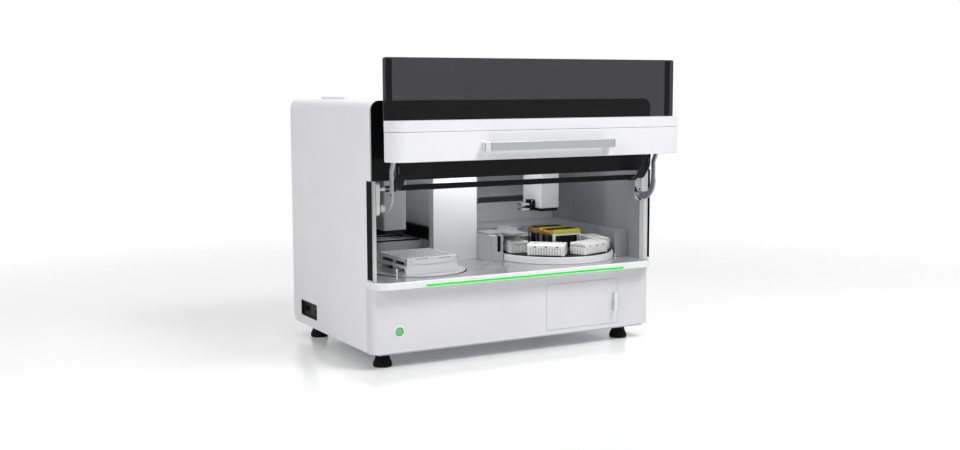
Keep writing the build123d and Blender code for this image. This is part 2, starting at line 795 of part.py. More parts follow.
os.makedirs("parts", exist_ok=True)
for node_name, node_shape in all_nodes().items():
    write_node(node_name, node_shape)
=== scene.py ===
# %% [markdown]
# # A bench-top nucleic acid extractor, dressed for the camera
# The machine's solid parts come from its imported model, which is already at real size and in its
# place. This notebook gives each part the finish of the real one, rounds its edges, adds the
# small pieces that are too fine for the solids, and then sets the camera and the lamps.

# %% Load the machine
import json
import math

import bmesh
import bpy
from mathutils import Matrix, Vector


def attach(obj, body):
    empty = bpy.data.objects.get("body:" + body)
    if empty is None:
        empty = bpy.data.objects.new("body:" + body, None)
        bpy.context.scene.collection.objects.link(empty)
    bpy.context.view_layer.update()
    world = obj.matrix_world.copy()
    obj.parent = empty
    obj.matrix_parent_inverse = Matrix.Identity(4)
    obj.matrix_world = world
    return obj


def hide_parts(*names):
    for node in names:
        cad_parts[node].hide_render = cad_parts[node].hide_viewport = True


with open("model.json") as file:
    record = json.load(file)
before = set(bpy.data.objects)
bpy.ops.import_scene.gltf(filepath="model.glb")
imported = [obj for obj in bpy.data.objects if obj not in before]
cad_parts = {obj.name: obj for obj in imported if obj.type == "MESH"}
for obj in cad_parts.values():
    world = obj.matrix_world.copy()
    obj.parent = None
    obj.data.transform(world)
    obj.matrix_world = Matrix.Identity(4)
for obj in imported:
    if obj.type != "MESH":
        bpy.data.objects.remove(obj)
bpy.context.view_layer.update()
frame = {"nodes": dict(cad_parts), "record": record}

# %% [markdown]
# ## Places and units
# Everything here is written in millimetres from the same zero as the machine's drawing: X from
# the middle, Y back from the front panel and Z up from the casing's underside. One function moves
# such a place into the scene, which is in metres with its zero on the bench.

# %% Units
MM = 0.001
BACK_SHIFT = -178.5
FOOT_HEIGHT = 34


def place(x, y, z):
    """A point of the drawing, as a scene position in metres."""
    return Vector((x * MM, (y + BACK_SHIFT) * MM, (z + FOOT_HEIGHT) * MM))


TO_SCENE = Matrix.Translation(place(0, 0, 0)) @ Matrix.Scale(MM, 4)
print("underside of the casing at", round(place(0, 0, 0).z, 3), "m")

# %% [markdown]
# ## Colour and nodes
# Colours are picked as sRGB hex values, the way a paint chart gives them. Blender's shaders work
# in linear light, so one function turns a hex value to linear. One more function adds a node.

# %% Colour and node helpers
def linear(hex_colour):
    """sRGB hex to a linear RGBA colour."""
    values = []
    for start in (1, 3, 5):
        part = int(hex_colour[start:start + 2], 16) / 255
        values.append(part / 12.92 if part <= 0.04045 else ((part + 0.055) / 1.055) ** 2.4)
    return (*values, 1.0)


def add_node(tree, kind, settings=None, inputs=None):
    """Add one node, set its properties and fill or link its inputs."""
    node = tree.nodes.new(kind)
    for name, value in (settings or {}).items():
        setattr(node, name, value)
    for name, value in (inputs or {}).items():
        if isinstance(value, bpy.types.NodeSocket):
            tree.links.new(value, node.inputs[name])
        else:
            node.inputs[name].default_value = value
    return node


print("a mid grey is", [round(v, 3) for v in linear("#808080")[:3]], "in linear light")

# %% [markdown]
# ## Surface patterns
# No real surface has one flat colour. Paint and plastic drift a little in tone from one hand's
# width to the next, carry a fine grain, and shine more where they are touched. All three are soft
# noise at different sizes, so three small functions make them, each with its size in millimetres.

# %% Tone, grain and wear
def start_material(name):
    """An empty node material with its shader, its output and object coordinates."""
    material = bpy.data.materials.new(name)
    material.use_nodes = True
    tree = material.node_tree
    tree.nodes.clear()
    shader = add_node(tree, "ShaderNodeBsdfPrincipled")
    add_node(tree, "ShaderNodeOutputMaterial", inputs={"Surface": shader.outputs[0]})
    coords = add_node(tree, "ShaderNodeTexCoord").outputs["Object"]
    return material, tree, shader, coords


def tone(tree, coords, dark, light, size_mm, detail=3.0):
    """Blend two colours by a soft noise whose patches are about size_mm across."""
    noise = add_node(tree, "ShaderNodeTexNoise", inputs={
        "Vector": coords, "Scale": 1 / (size_mm * MM), "Detail": detail})
    ramp = add_node(tree, "ShaderNodeValToRGB", inputs={"Fac": noise.outputs["Fac"]})
    for stop, position, hex_colour in zip(ramp.color_ramp.elements, (0.3, 0.7), (dark, light)):
        stop.position = position
        stop.color = linear(hex_colour)
    return ramp.outputs["Color"]


def grain(tree, coords, size_mm, depth_mm, strength=0.3):
    """Fine bump whose grains are about size_mm across."""
    noise = add_node(tree, "ShaderNodeTexNoise", inputs={
        "Vector": coords, "Scale": 1 / (size_mm * MM), "Detail": 2.0})
    bump = add_node(tree, "ShaderNodeBump", inputs={
        "Height": noise.outputs["Fac"], "Distance": depth_mm * MM, "Strength": strength})
    return bump.outputs["Normal"]


def rough_range(tree, coords, size_mm, low, high):
    """Roughness that wanders between two values, as handled surfaces do."""
    noise = add_node(tree, "ShaderNodeTexNoise", inputs={
        "Vector": coords, "Scale": 1 / (size_mm * MM), "Detail": 2.0})
    spread = add_node(tree, "ShaderNodeMapRange", inputs={
        "Value": noise.outputs["Fac"], "To Min": low, "To Max": high})
    return spread.outputs["Result"]


print("patterns", tone.__name__, grain.__name__, rough_range.__name__)

# %% [markdown]
# ## Moulded plastics
# The casing is injection-moulded ABS with a fine spark-eroded grain: to the eye it is a soft,
# slightly broken shine and no speckle. The same recipe with other colours and grain makes the
# black covers, the racks and the trays, so one function holds it. Grain of 0.1 mm would be lost
# in a view of the whole machine, so it is drawn about ten times as coarse and very shallow.

# %% How a moulded plastic is made
PLASTIC_IOR = 1.53
PLASTIC_PATCH = 140
PLASTIC_WEAR = 60


def moulded(name, dark, light, rough, grain_mm=0.9, depth_mm=0.02, gloss=0.5):
    """Injection-moulded plastic with a fine even grain."""
    material, tree, shader, coords = start_material(name)
    tree.links.new(tone(tree, coords, dark, light, PLASTIC_PATCH), shader.inputs["Base Color"])
    tree.links.new(rough_range(tree, coords, PLASTIC_WEAR, rough - 0.04, rough + 0.04),
                   shader.inputs["Roughness"])
    tree.links.new(grain(tree, coords, grain_mm, depth_mm), shader.inputs["Normal"])
    shader.inputs["IOR"].default_value = PLASTIC_IOR
    shader.inputs["Specular IOR Level"].default_value = gloss
    return material


print("plastic refracts at", PLASTIC_IOR)

# %% [markdown]
# ## The plastics of this machine
# ABS is tough and takes a clean satin skin, so the casing is made of it. Polypropylene has a waxy
# look and bears harsh reagents, polystyrene is crisp and a little shinier, filled nylon and
# nitrile rubber are dull. The colours differ, and the roughness follows how waxy or hard each is.

# %% Casing and covers
# near-white ABS with a soft satin shine
white_abs = moulded("white_abs_casing", "#EEEEF0", "#F3F3F5", 0.34)
# the same ABS for the front casing, a shade greyer: painted shade, as less light falls there under the
# lip
front_abs_painted_shade = moulded("white_abs_front_painted_shade", "#DADADD", "#E0E0E3", 0.36)
# dull black ABS that shows only its edges
black_abs = moulded("black_abs_base_plate", "#08080A", "#0F0F10", 0.5, gloss=0.12)
print("casing plastics", len(bpy.data.materials))

# %% [markdown]
# ## Labware plastics
# Racks, plate, trays and tips are thrown away after a run, so they are thin and light. Their
# grain is coarser than that of the casing, because cheap moulds are not polished.

# %% Labware
# waxy white polypropylene
rack_pp = moulded("polypropylene_rack", "#F1F1F0", "#F8F8F7", 0.45, 1.4, 0.03)
# crisp polystyrene, a little shinier
plate_ps = moulded("polystyrene_plate", "#E9E9EA", "#F1F1F1", 0.3, 1.4, 0.02)
# sulphur-yellow and orange ABS of the tray's rims and caps
yellow_abs = moulded("yellow_abs_tray_rim", "#BDB918", "#CFCB26", 0.38)
orange_abs = moulded("orange_abs_end_cap", "#B87A10", "#C98A1A", 0.36)
# printed film, nearly black from most sides
navy_film = moulded("navy_sealing_film", "#060826", "#0A0D34", 0.5, 2.0, 0.03, gloss=0.08)
# polypropylene filled with carbon, so that the tips conduct
tip_plastic = moulded("conductive_black_tip", "#0D0D0F", "#161618", 0.4, 1.2, 0.02, gloss=0.35)
print("with labware", len(bpy.data.materials))

# %% [markdown]
# ## Small parts
# Buttons, sockets, feet and seals are dull, so that they don't glare beside the white casing.

# %% Button, inlet, board, feet and seals
# dull grey with a touch of mauve, and plum painted shade for the gap round it
button_abs = moulded("mauve_grey_button", "#A594A3", "#B2A3B0", 0.5)
button_shadow = moulded("plum_button_gap_painted_shade", "#584458", "#6B566A", 0.5)
# nylon with glass fibre, whose fibres leave a dull coarse skin
inlet_nylon = moulded("glass_filled_nylon_inlet", "#101011", "#171718", 0.55, 1.1, 0.04, gloss=0.2)
# woven glass in epoxy under green lacquer
board_resin = moulded("green_glass_epoxy_board", "#1F5A3A", "#28694A", 0.4, 1.0, 0.02)
# rubber swallows nearly all light
foot_rubber = moulded("nitrile_rubber_foot", "#060607", "#0B0B0C", 0.7, 1.6, 0.05, gloss=0.12)
seal_rubber = moulded("rubber_edge_seal", "#030304", "#070708", 0.7, 1.6, 0.04, gloss=0.08)
print("all plastics", len(bpy.data.materials))

# %% [markdown]
# ## Powder-coated sheet
# Walls, heads and arms are sheet steel with a fine powder coat, whose orange-peel surface
# shows as a slow ripple in the highlights. It could be drawn as bumps of its own, but ripple at
# this size is soft noise again, so the patterns above serve with larger sizes.

# %% How a powder coat is made
COAT_PATCH = 180
COAT_WEAR = 90
ORANGE_PEEL = 2.2


def powder_coat(name, dark, light, rough, metallic=0.0, gloss=0.5):
    """Baked powder paint: slow orange peel under a soft shine."""
    material, tree, shader, coords = start_material(name)
    tree.links.new(tone(tree, coords, dark, light, COAT_PATCH), shader.inputs["Base Color"])
    tree.links.new(rough_range(tree, coords, COAT_WEAR, rough - 0.05, rough + 0.05),
                   shader.inputs["Roughness"])
    tree.links.new(grain(tree, coords, ORANGE_PEEL, 0.03, 0.25), shader.inputs["Normal"])
    shader.inputs["Metallic"].default_value = metallic
    shader.inputs["Specular IOR Level"].default_value = gloss
    return material


print("orange peel of", ORANGE_PEEL, "mm")

# %% [markdown]
# ## The paints of this machine
# All are greys with a grey primer below: pale on the column and posts, silver on the heads and
# arms, darker on the walls. The deck and the turntable are coated glossy, since they are wiped
# after each run, so they mirror what stands on them. Silver paints hold metal flakes, which a
# part-metallic shader gives.

# %% Walls and heads
# satin greys, from the back wall to the left side; the darker grey of the side wall and of the left
# head is painted shade
wall_paint = powder_coat("grey_powder_coat_wall", "#BBBCBF", "#C5C6C8", 0.4)
shade_grey_paint = powder_coat("painted_shade_grey_coat", "#8D8E91", "#97989A", 0.4)
column_paint = powder_coat("pale_powder_coat_column", "#DADBDD", "#E3E4E5", 0.4)
head_paint = powder_coat("silver_powder_coat_head", "#BFC0C3", "#CACBCD", 0.34)
# a darker copy of the head paint for the left head: painted shade
head_paint_painted_shade = powder_coat("head_coat_painted_shade", "#97989B", "#A2A3A5", 0.36)
print("with walls and heads", len(bpy.data.materials))

# %% [markdown]
# ## Deck, arms and dark parts
# The glossy coats and the nearly black ones differ only in shine: a wiped deck shows reflections,
# and a dark bar must not.

# %% Deck, arms and dark parts
post_paint = powder_coat("pale_grey_post", "#CFD0D2", "#DADBDC", 0.36)
# glossy and slightly metallic, so the racks are mirrored softly
deck_paint = powder_coat("polished_deck_coat", "#A2A3A6", "#AEAFB1", 0.14, 0.25)
disc_paint = powder_coat("pale_turntable_coat", "#CBCCCE", "#D6D7D8", 0.2, 0.2)
platform_paint = powder_coat("grey_platform_coat", "#999A9D", "#A5A6A8", 0.34)
# silver flakes on the arms
arm_paint = powder_coat("silver_arm_coat", "#97989B", "#A8A9AC", 0.3, 0.6)
# near-black, without a highlight
dark_coat = powder_coat("dark_bar_coat", "#090909", "#111112", 0.48, gloss=0.12)
rear_paint = powder_coat("pale_rear_coat", "#D2D3D5", "#DCDDDE", 0.42)
print("with painted metal", len(bpy.data.materials))

# %% [markdown]
# ## Bare metal
# A brushed surface is full of long fine scratches that all run one way, so its highlight is drawn
# out across them. Noise that is squeezed across the scratches and stretched along them gives just
# that, in the colour as well as in the bump. The scratches are drawn 0.4 mm apart.

# %% Brushed metals
SCRATCH_GAP = 0.4
SCRATCH_LENGTH = 80


def brushed(name, dark, light, rough, along="X"):
    """Bare metal brushed along one axis."""
    material, tree, shader, coords = start_material(name)
    gap, length = 1 / SCRATCH_GAP, 1 / SCRATCH_LENGTH
    stretch = {"X": (length, gap, gap), "Z": (gap, gap, length)}[along]
    spread = add_node(tree, "ShaderNodeVectorMath", {"operation": "MULTIPLY"})
    tree.links.new(coords, spread.inputs[0])
    spread.inputs[1].default_value = [value / MM for value in stretch]
    lines = add_node(tree, "ShaderNodeTexNoise", inputs={
        "Vector": spread.outputs[0], "Scale": 1.0, "Detail": 2.0})
    ramp = add_node(tree, "ShaderNodeValToRGB", inputs={"Fac": lines.outputs["Fac"]})
    ramp.color_ramp.elements[0].color = linear(dark)
    ramp.color_ramp.elements[1].color = linear(light)
    tree.links.new(ramp.outputs["Color"], shader.inputs["Base Color"])
    bump = add_node(tree, "ShaderNodeBump", inputs={
        "Height": lines.outputs["Fac"], "Distance": 0.01 * MM, "Strength": 0.3})
    tree.links.new(bump.outputs["Normal"], shader.inputs["Normal"])
    shader.inputs["Metallic"].default_value = 1.0
    shader.inputs["Roughness"].default_value = rough
    return material


# aluminium is light grey, polished steel nearly white, and zinc plating bluish and dull
handle_aluminium = brushed("brushed_aluminium_handle", "#A7A8AA", "#BFC0C2", 0.34)
bright_steel = brushed("bright_steel_cap", "#D8D9DB", "#E8E9EA", 0.18)
plated_steel = brushed("zinc_plated_steel", "#9C9EA2", "#B4B6BA", 0.38)
frame_aluminium = brushed("anodised_aluminium_frame", "#B4B5B8", "#CACBCD", 0.3, "Z")
print("with bare metal", len(bpy.data.materials))

# %% [markdown]
# ## Lit diffusers
# The strip on the shelf is a milky diffuser over green diodes, so it glows evenly, with slightly
# brighter spots over groups of diodes. Blender's wave texture runs through 20 radians per unit of
# length, which its scale has to allow for.

# %% Diffusers
GLOW_SPOT_PITCH = 50.3
WAVE_RADIANS = 20


def glowing(name, hex_colour, strength, unlit):
    """A lit diffuser whose brighter spots are GLOW_SPOT_PITCH apart."""
    material, tree, shader, coords = start_material(name)
    wave = add_node(tree, "ShaderNodeTexWave", inputs={
        "Vector": coords, "Distortion": 0.0,
        "Scale": 2 * math.pi / (WAVE_RADIANS * GLOW_SPOT_PITCH * MM)})
    ramp = add_node(tree, "ShaderNodeValToRGB", inputs={"Fac": wave.outputs["Fac"]})
    ramp.color_ramp.elements[0].color = [0.92 * v for v in linear(hex_colour)[:3]] + [1.0]
    ramp.color_ramp.elements[1].color = linear(hex_colour)
    shader.inputs["Base Color"].default_value = linear(unlit)
    tree.links.new(ramp.outputs["Color"], shader.inputs["Emission Color"])
    shader.inputs["Emission Strength"].default_value = strength
    shader.inputs["Specular IOR Level"].default_value = 0.1
    return material


green_light = glowing("green_light_strip", "#12FA3C", 1.0, "#0A2410")
green_ring = glowing("green_button_ring", "#2CF052", 0.9, "#0A2410")
# the white marks glow faintly though they are no lamps: painted light
white_dot_painted_glow = glowing("white_marker_dot_painted_glow", "#F4F4F6", 0.1, "#E2E2E4")
print("diffusers glow from", green_light.name, "to", white_dot_painted_glow.name)

# %% [markdown]
# ## Smoke-tinted pane
# The door's window is a thin sheet of polycarbonate with a grey dye. A transmissive shader would
# bend the view as a thick lens does, so its IOR is set low: a sheet hardly shifts what is behind.

# %% Pane
def tinted_pane(name, dark, light):
    """Smoke-tinted polycarbonate with a polished surface."""
    material, tree, shader, coords = start_material(name)
    shader.inputs["Transmission Weight"].default_value = 0.88
    shader.inputs["IOR"].default_value = 1.2
    tree.links.new(rough_range(tree, coords, 200, 0.0, 0.02), shader.inputs["Roughness"])
    tree.links.new(tone(tree, coords, dark, light, 400), shader.inputs["Base Color"])
    return material


pane_smoke = tinted_pane("smoke_polycarbonate", "#454547", "#4A4A4C")
print("pane", pane_smoke.name)

# %% [markdown]
# ## Perforated fascia
# The fascia is black ABS whose lower band is drilled with a fine grid of air holes. At 1.8 mm
# across they are drawn as a dot pattern and not cut one by one: a Voronoi texture without
# randomness is an even grid, and the distance to its points gives round dots of any size.

# %% Fascia
FASCIA_HOLE_PITCH = 6.0
FASCIA_HOLE = 1.8
FASCIA_BAND_TOP = 452
# Blender's Mix node keeps its two colour inputs at these places
COLOUR_A, COLOUR_B = 6, 7


def perforated(name, dark, light, plain, hole_colour):
    """Black moulding with a grid of fine holes in its lower band."""
    material, tree, shader, coords = start_material(name)
    parts = add_node(tree, "ShaderNodeSeparateXYZ", inputs={"Vector": coords})
    flat = add_node(tree, "ShaderNodeCombineXYZ", inputs={
        "X": parts.outputs["X"], "Y": parts.outputs["Z"]})
    dots = add_node(tree, "ShaderNodeTexVoronoi", {"feature": "F1"}, {
        "Vector": flat.outputs[0], "Scale": 1 / (FASCIA_HOLE_PITCH * MM), "Randomness": 0.0})
    hole = add_node(tree, "ShaderNodeMath", {"operation": "LESS_THAN"}, {
        0: dots.outputs["Distance"], 1: FASCIA_HOLE / 2 / FASCIA_HOLE_PITCH})
    below = add_node(tree, "ShaderNodeMath", {"operation": "LESS_THAN"}, {
        0: parts.outputs["Z"], 1: (FASCIA_BAND_TOP + FOOT_HEIGHT) * MM})
    both = add_node(tree, "ShaderNodeMath", {"operation": "MULTIPLY"}, {
        0: hole.outputs[0], 1: below.outputs[0]})
    sheet = add_node(tree, "ShaderNodeMix", {"data_type": "RGBA"}, {
        "Factor": below.outputs[0], COLOUR_A: linear(plain),
        COLOUR_B: tone(tree, coords, dark, light, 160)})
    colour = add_node(tree, "ShaderNodeMix", {"data_type": "RGBA"}, {
        "Factor": both.outputs[0], COLOUR_A: sheet.outputs[2], COLOUR_B: linear(hole_colour)})
    tree.links.new(colour.outputs[2], shader.inputs["Base Color"])
    tree.links.new(rough_range(tree, coords, 80, 0.36, 0.44), shader.inputs["Roughness"])
    tree.links.new(grain(tree, coords, 1.0, 0.02), shader.inputs["Normal"])
    shader.inputs["Specular IOR Level"].default_value = 0.1
    return material


fascia_black = perforated("perforated_black_fascia", "#1A1A1B", "#202021", "#050506", "#2E2E30")
print("fascia holes every", FASCIA_HOLE_PITCH, "mm")

# %% [markdown]
# ## Raw shapes: prism and bar
# Three small tools make every added piece: a prism pushes an outline along an axis, a bar is a
# prism with a square outline, and a turned shape is a profile spun round an axis, as on a lathe.
# They all work in drawing millimetres on a bmesh, Blender's editable mesh. The table says how two
# numbers of an outline and a height become X, Y and Z for each axis.

# %% Prism and bar
SPOT = {"X": lambda a, b, h: (h, a, b), "Y": lambda a, b, h: (a, h, b), "Z": lambda a, b, h: (a, b, h)}


def prism(bm, outline, span, axis="Z", paint=0):
    """Push a closed outline along an axis; the outline gives the other two coordinates."""
    spot = SPOT[axis]
    low = [bm.verts.new(spot(a, b, span[0])) for a, b in outline]
    high = [bm.verts.new(spot(a, b, span[1])) for a, b in outline]
    faces = [bm.faces.new(low[::-1]), bm.faces.new(high)]
    for here in range(len(outline)):
        there = (here + 1) % len(outline)
        faces.append(bm.faces.new((low[here], low[there], high[there], high[here])))
    for face in faces:
        face.material_index = paint
    return faces


def bar(bm, x, y, z, paint=0):
    """Straight bar between three (low, high) pairs."""
    return prism(bm, [(x[0], y[0]), (x[1], y[0]), (x[1], y[1]), (x[0], y[1])], z, "Z", paint)


print("axes", sorted(SPOT))

# %% [markdown]
# ## Raw shapes: the lathe
# Feet, rivets, knobs and pins are turned parts. The lathe places the profile's points on circles
# and joins neighbouring circles by quads. An open profile is capped at both ends, and a closed
# one comes out as a ring with a hole.

# %% Lathe
def turned(bm, profile, centre, axis="Z", steps=32, paint=0, closed=False):
    """Spin a profile of (radius, height) points; a closed profile makes a ring."""
    spot = SPOT[axis]
    rings = []
    for radius, height in profile:
        angles = [2 * math.pi * step / steps for step in range(steps)]
        rings.append([bm.verts.new(spot(centre[0] + radius * math.cos(angle),
                                        centre[1] + radius * math.sin(angle), height))
                      for angle in angles])
    pairs = list(zip(rings, rings[1:])) + ([(rings[-1], rings[0])] if closed else [])
    faces = [] if closed else [bm.faces.new(rings[0][::-1]), bm.faces.new(rings[-1])]
    for lower, upper in pairs:
        for here in range(steps):
            there = (here + 1) % steps
            faces.append(bm.faces.new((lower[here], lower[there], upper[there], upper[here])))
    for face in faces:
        face.material_index = paint
    return faces


print("lathe works round", sorted(SPOT))

# %% [markdown]
# ## From raw shape to finished piece
# No real edge is perfectly sharp: a mould has a small radius and sheet is broken by a file. That
# radius is what catches the light, so each piece gets a bevel on its sharp edges only. Each piece
# is also told which moving body it rides on, and the solid parts it replaces are hidden.

# %% Finished pieces
SHARP = math.radians(32)


def round_edges(piece, width_mm, steps=2):
    """Round the sharp edges of a piece."""
    piece.data.shade_smooth()
    piece.data.set_sharp_from_angle(angle=SHARP)
    edges = piece.modifiers.new("rounded_edges", "BEVEL")
    edges.width = width_mm * MM
    edges.segments = steps
    edges.limit_method = "ANGLE"
    edges.angle_limit = SHARP
    edges.harden_normals = True


def make_piece(name, bm, finishes, body, soften=0.4, replaced=(), at=Matrix()):
    """Move a raw shape to its place, give it finishes and let it ride on a body."""
    bm.transform(TO_SCENE @ at)
    bmesh.ops.recalc_face_normals(bm, faces=bm.faces)
    mesh = bpy.data.meshes.new(name)
    bm.to_mesh(mesh)
    bm.free()
    for finish in finishes:
        mesh.materials.append(finish)
    piece = bpy.data.objects.new(name, mesh)
    bpy.context.scene.collection.objects.link(piece)
    round_edges(piece, soften)
    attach(piece, body)
    if replaced:
        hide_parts(*replaced)
    return piece


print("edges sharper than", round(math.degrees(SHARP)), "degrees are rounded")

# %% [markdown]
# ## Rounding the solid parts
# The solids come with square edges. Each visible part is copied, the triangles of its flat faces
# are merged again, and its edges are rounded by the radius of the real one: about 2 mm on the
# large mouldings, and half a millimetre on sheet. The copy then stands for the solid.

# %% A rounded copy of one part
BODY_OF = {node: body for body, nodes in frame["record"]["behaviour"]["bodies"].items()
           for node in nodes}
WELD = 0.01 * MM
FLAT = math.radians(0.5)


def clean_copy(node):
    """The part's shape as a bmesh, with its flat faces whole again."""
    bm = bmesh.new()
    bm.from_mesh(frame["nodes"][node].data)
    bmesh.ops.remove_doubles(bm, verts=bm.verts, dist=WELD)
    bmesh.ops.dissolve_limit(bm, angle_limit=FLAT, verts=bm.verts, edges=bm.edges)
    return bm


def eased(node, finish, radius_mm, shaded_rim_finish=None):
    """Round the edges of a copy of a solid part; its rims may take a second, darker finish as painted
    shade.
    """
    bm = clean_copy(node)
    bm.transform(TO_SCENE.inverted())
    bm.normal_update()
    for face in bm.faces:
        face.material_index = int(shaded_rim_finish is not None and abs(face.normal.x) < 0.5)
    return make_piece(node + "_eased", bm, [finish] + ([shaded_rim_finish] if shaded_rim_finish else []), BODY_OF[node],
                      radius_mm, [node])


# %% [markdown]
# ## Which parts are rounded, and how much
# A table of finish, part and radius in millimetres is easier to read and to change than many
# separate calls. The upper arms are the one part with two finishes: bare metal on their broad
# sides, and near-black rims, which is painted shade.

# %% Rounded parts
EASED = {
    white_abs: {"left_side_panel": 1.2, "right_side_panel": 1.2, "top_cover": 0.6,
                "top_vent_grille": 0.8, "shelf_lip": 1.6, "door_bar": 1.8, "door_bar_cap": 1.8,
                "carousel_drum": 1.0},
    # the front parts take the greyer ABS, which is painted shade
    front_abs_painted_shade: {"front_casing": 1.0, "access_door": 0.8},
    black_abs: {"left_head_base": 0.8, "right_head_base": 0.8, "gripper_body": 0.6},
    fascia_black: {"front_fascia": 0.8},
    seal_rubber: {"edge_seals": 0.5},
    wall_paint: {"back_wall": 0.4, "carousel_block": 0.8},
    column_paint: {"centre_column": 1.0, "hinge_brackets": 0.6},
    plate_ps: {"plate_carrier": 1.0},
    head_paint: {"right_head": 1.2},
    # the left head takes the darker copy of the head paint, painted shade
    head_paint_painted_shade: {"left_head": 1.2},
    post_paint: {"front_posts": 0.8},
    platform_paint: {"rear_platform": 1.2, "fan_cover": 0.8},
    arm_paint: {"left_lower_arm": 0.7, "right_lower_arm": 0.7},
    dark_coat: {"crossbar": 0.6, "head_carriage": 0.8, "carousel_disc": 0.6},
    handle_aluminium: {"gripper_upper_jaw": 0.4, "gripper_lower_jaw": 0.4},
    plated_steel: {"gantry_rails": 0.6},
    frame_aluminium: {"tip_rack_frame": 0.6},
}
for part_finish, parts in EASED.items():
    for part, edge_radius in parts.items():
        eased(part, part_finish, edge_radius)
# the upper arms' rims take the near-black coat as painted shade
eased("upper_arms", plated_steel, 0.9, dark_coat)
print("rounded copies", sum(len(parts) for parts in EASED.values()), "and the upper arms")

# %% [markdown]
# ## Dressing the other solid parts
# Sheets, hidden parts and parts that are replaced further on keep their own shape. They only need
# a finish in place of the plain one they came with, so another table gives each its own.

# %% Finish for each remaining part
FINISHES = {
    deck_paint: ("deck_plate",),
    disc_paint: ("turntable_disc",),
    # the inner walls and waste bin take the darker grey, painted shade
    shade_grey_paint: ("inner_walls", "waste_bin"),
    rear_paint: ("rear_panel", "door_rear_plate"),
    dark_coat: ("door_stiffeners", "drive_motors"),
    plated_steel: ("base_pan", "power_supply", "door_pins"),
    board_resin: ("control_board",),
    green_light: ("led_strip",),
    pane_smoke: ("door_window",),
    inlet_nylon: ("inlet_panel", "power_inlet"),
    # the button bezel takes the greyer front ABS, painted shade
    front_abs_painted_shade: ("button_bezel",),
    button_abs: ("power_button",),
    handle_aluminium: ("door_handle", "access_handle"),
    rack_pp: ("reagent_racks",),
    plate_ps: ("well_plate",),
    yellow_abs: ("tip_trays",),
    tip_plastic: ("pipette_tips",),
    foot_rubber: ("levelling_feet",),
}


def dress(node, material):
    """Give a solid part its finish."""
    slots = frame["nodes"][node].data.materials
    slots.clear()
    slots.append(material)


for node_finish, nodes in FINISHES.items():
    for node_name in nodes:
        dress(node_name, node_finish)
finished = {name for parts in EASED.values() for name in parts}
finished |= {name for nodes in FINISHES.values() for name in nodes} | {"upper_arms"}
print("parts without a finish:", sorted(set(frame["nodes"]) - finished))

# %% [markdown]
# ## Reagent racks
# Each rack is a white polypropylene moulding with a finely fluted front, three finger holes and a
# comb of ribs on top, where the reagent strips clip in. The grooves could be cut one by one, but
# a fluted outline that is drawn once as a comb and pushed up is simpler and cleaner.

# %% One rack
RACK_WIDTH = 94
RACK_DEPTH = 50
RACK_HEIGHT = 30
RACK_SHOULDER = 19
FLUTE_PITCH = 6.9
FLUTE_DEPTH = 2.2
FLUTE_FACE = 0.4
STRIP_PITCH = 10.5


def fluted_outline(low, high, front):
    """Plan of the rack: a comb along the front and plain sides."""
    points = []
    x = low
    while x + FLUTE_PITCH <= high + 0.01:
        points += [(x, front), (x + FLUTE_PITCH * 0.58, front),
                   (x + FLUTE_PITCH * 0.66, front + FLUTE_DEPTH),
                   (x + FLUTE_PITCH * 0.92, front + FLUTE_DEPTH)]
        x += FLUTE_PITCH
    return points + [(high, front), (high, RACK_DEPTH), (low, RACK_DEPTH)]


def rack_shape():
    """One rack, front face towards -Y, standing on the disc."""
    bm = bmesh.new()
    half = RACK_WIDTH / 2
    flutes = prism(bm, fluted_outline(-half + 2, half - 2, FLUTE_FACE), (1, RACK_SHOULDER))
    # the back face of each groove takes the grey third finish, painted shade in the groove
    for face in flutes[2:]:
        if all(abs(corner.co.y - FLUTE_FACE - FLUTE_DEPTH) < 0.01 for corner in face.verts):
            face.material_index = 2
    bar(bm, (-half, half), (FLUTE_FACE + FLUTE_DEPTH, RACK_DEPTH), (1, RACK_SHOULDER + 5))
    prism(bm, [(FLUTE_FACE, RACK_SHOULDER), (FLUTE_FACE, 25), (4.5, RACK_HEIGHT - 1),
               (RACK_DEPTH, RACK_HEIGHT - 1), (RACK_DEPTH, RACK_SHOULDER)], (-half, half), "X")
    for x in (-half + 4, half - 4):
        bar(bm, (x - 3.5, x + 3.5), (1.5, RACK_DEPTH - 2), (0, 5))
    for side in (-1, 1):
        for step in range(5):
            y = 8 + step * 8.5
            bar(bm, sorted((side * (half - 1), side * (half + 0.3))), (y, y + 1.6), (2, 20), 2)
    for step in range(9):
        x = (step - 4) * STRIP_PITCH
        bar(bm, (x - 1.6, x + 1.6), (5, RACK_DEPTH - 2), (28.5, RACK_HEIGHT))
    for step in range(8):
        x = (step - 3.5) * STRIP_PITCH
        bar(bm, (x - 2.6, x + 2.6), (9, RACK_DEPTH - 6), (28.5, 29.5))
    # the three finger holes are dark discs on the face, painted shade in place of holes
    for x in (-28, 0, 28):
        turned(bm, [(2.2, 0.1), (2.2, 1)], (x, 21.8), "Y", 16, 1)
    return bm


print("flutes on a rack", int((RACK_WIDTH - 4) / FLUTE_PITCH))

# %% [markdown]
# ## Racks on the carousel
# The carousel indexes its racks under the heads, so they stand evenly round it. Each copy is
# pushed out from the middle and then turned, and it rides on the carousel's body.

# %% Six racks
CAROUSEL = (202, 160)
DISC_TOP = 192
RACK_COUNT = 6
RACK_ANGLE = 18.9
RACK_RADIUS = 139
for step in range(RACK_COUNT):
    turn = Matrix.Rotation(math.radians(RACK_ANGLE + step * 360 / RACK_COUNT), 4, "Z")
    spot = Matrix.Translation((*CAROUSEL, DISC_TOP)) @ turn @ Matrix.Translation((0, -RACK_RADIUS, 0))
    # the near-black finger-hole discs and the grey groove backs of a rack are painted shade
    make_piece("reagent_rack_%d" % (step + 1), rack_shape(), [rack_pp, inlet_nylon, wall_paint],
               "carousel", 0.35, ["reagent_racks"], spot)
print("racks", RACK_COUNT)

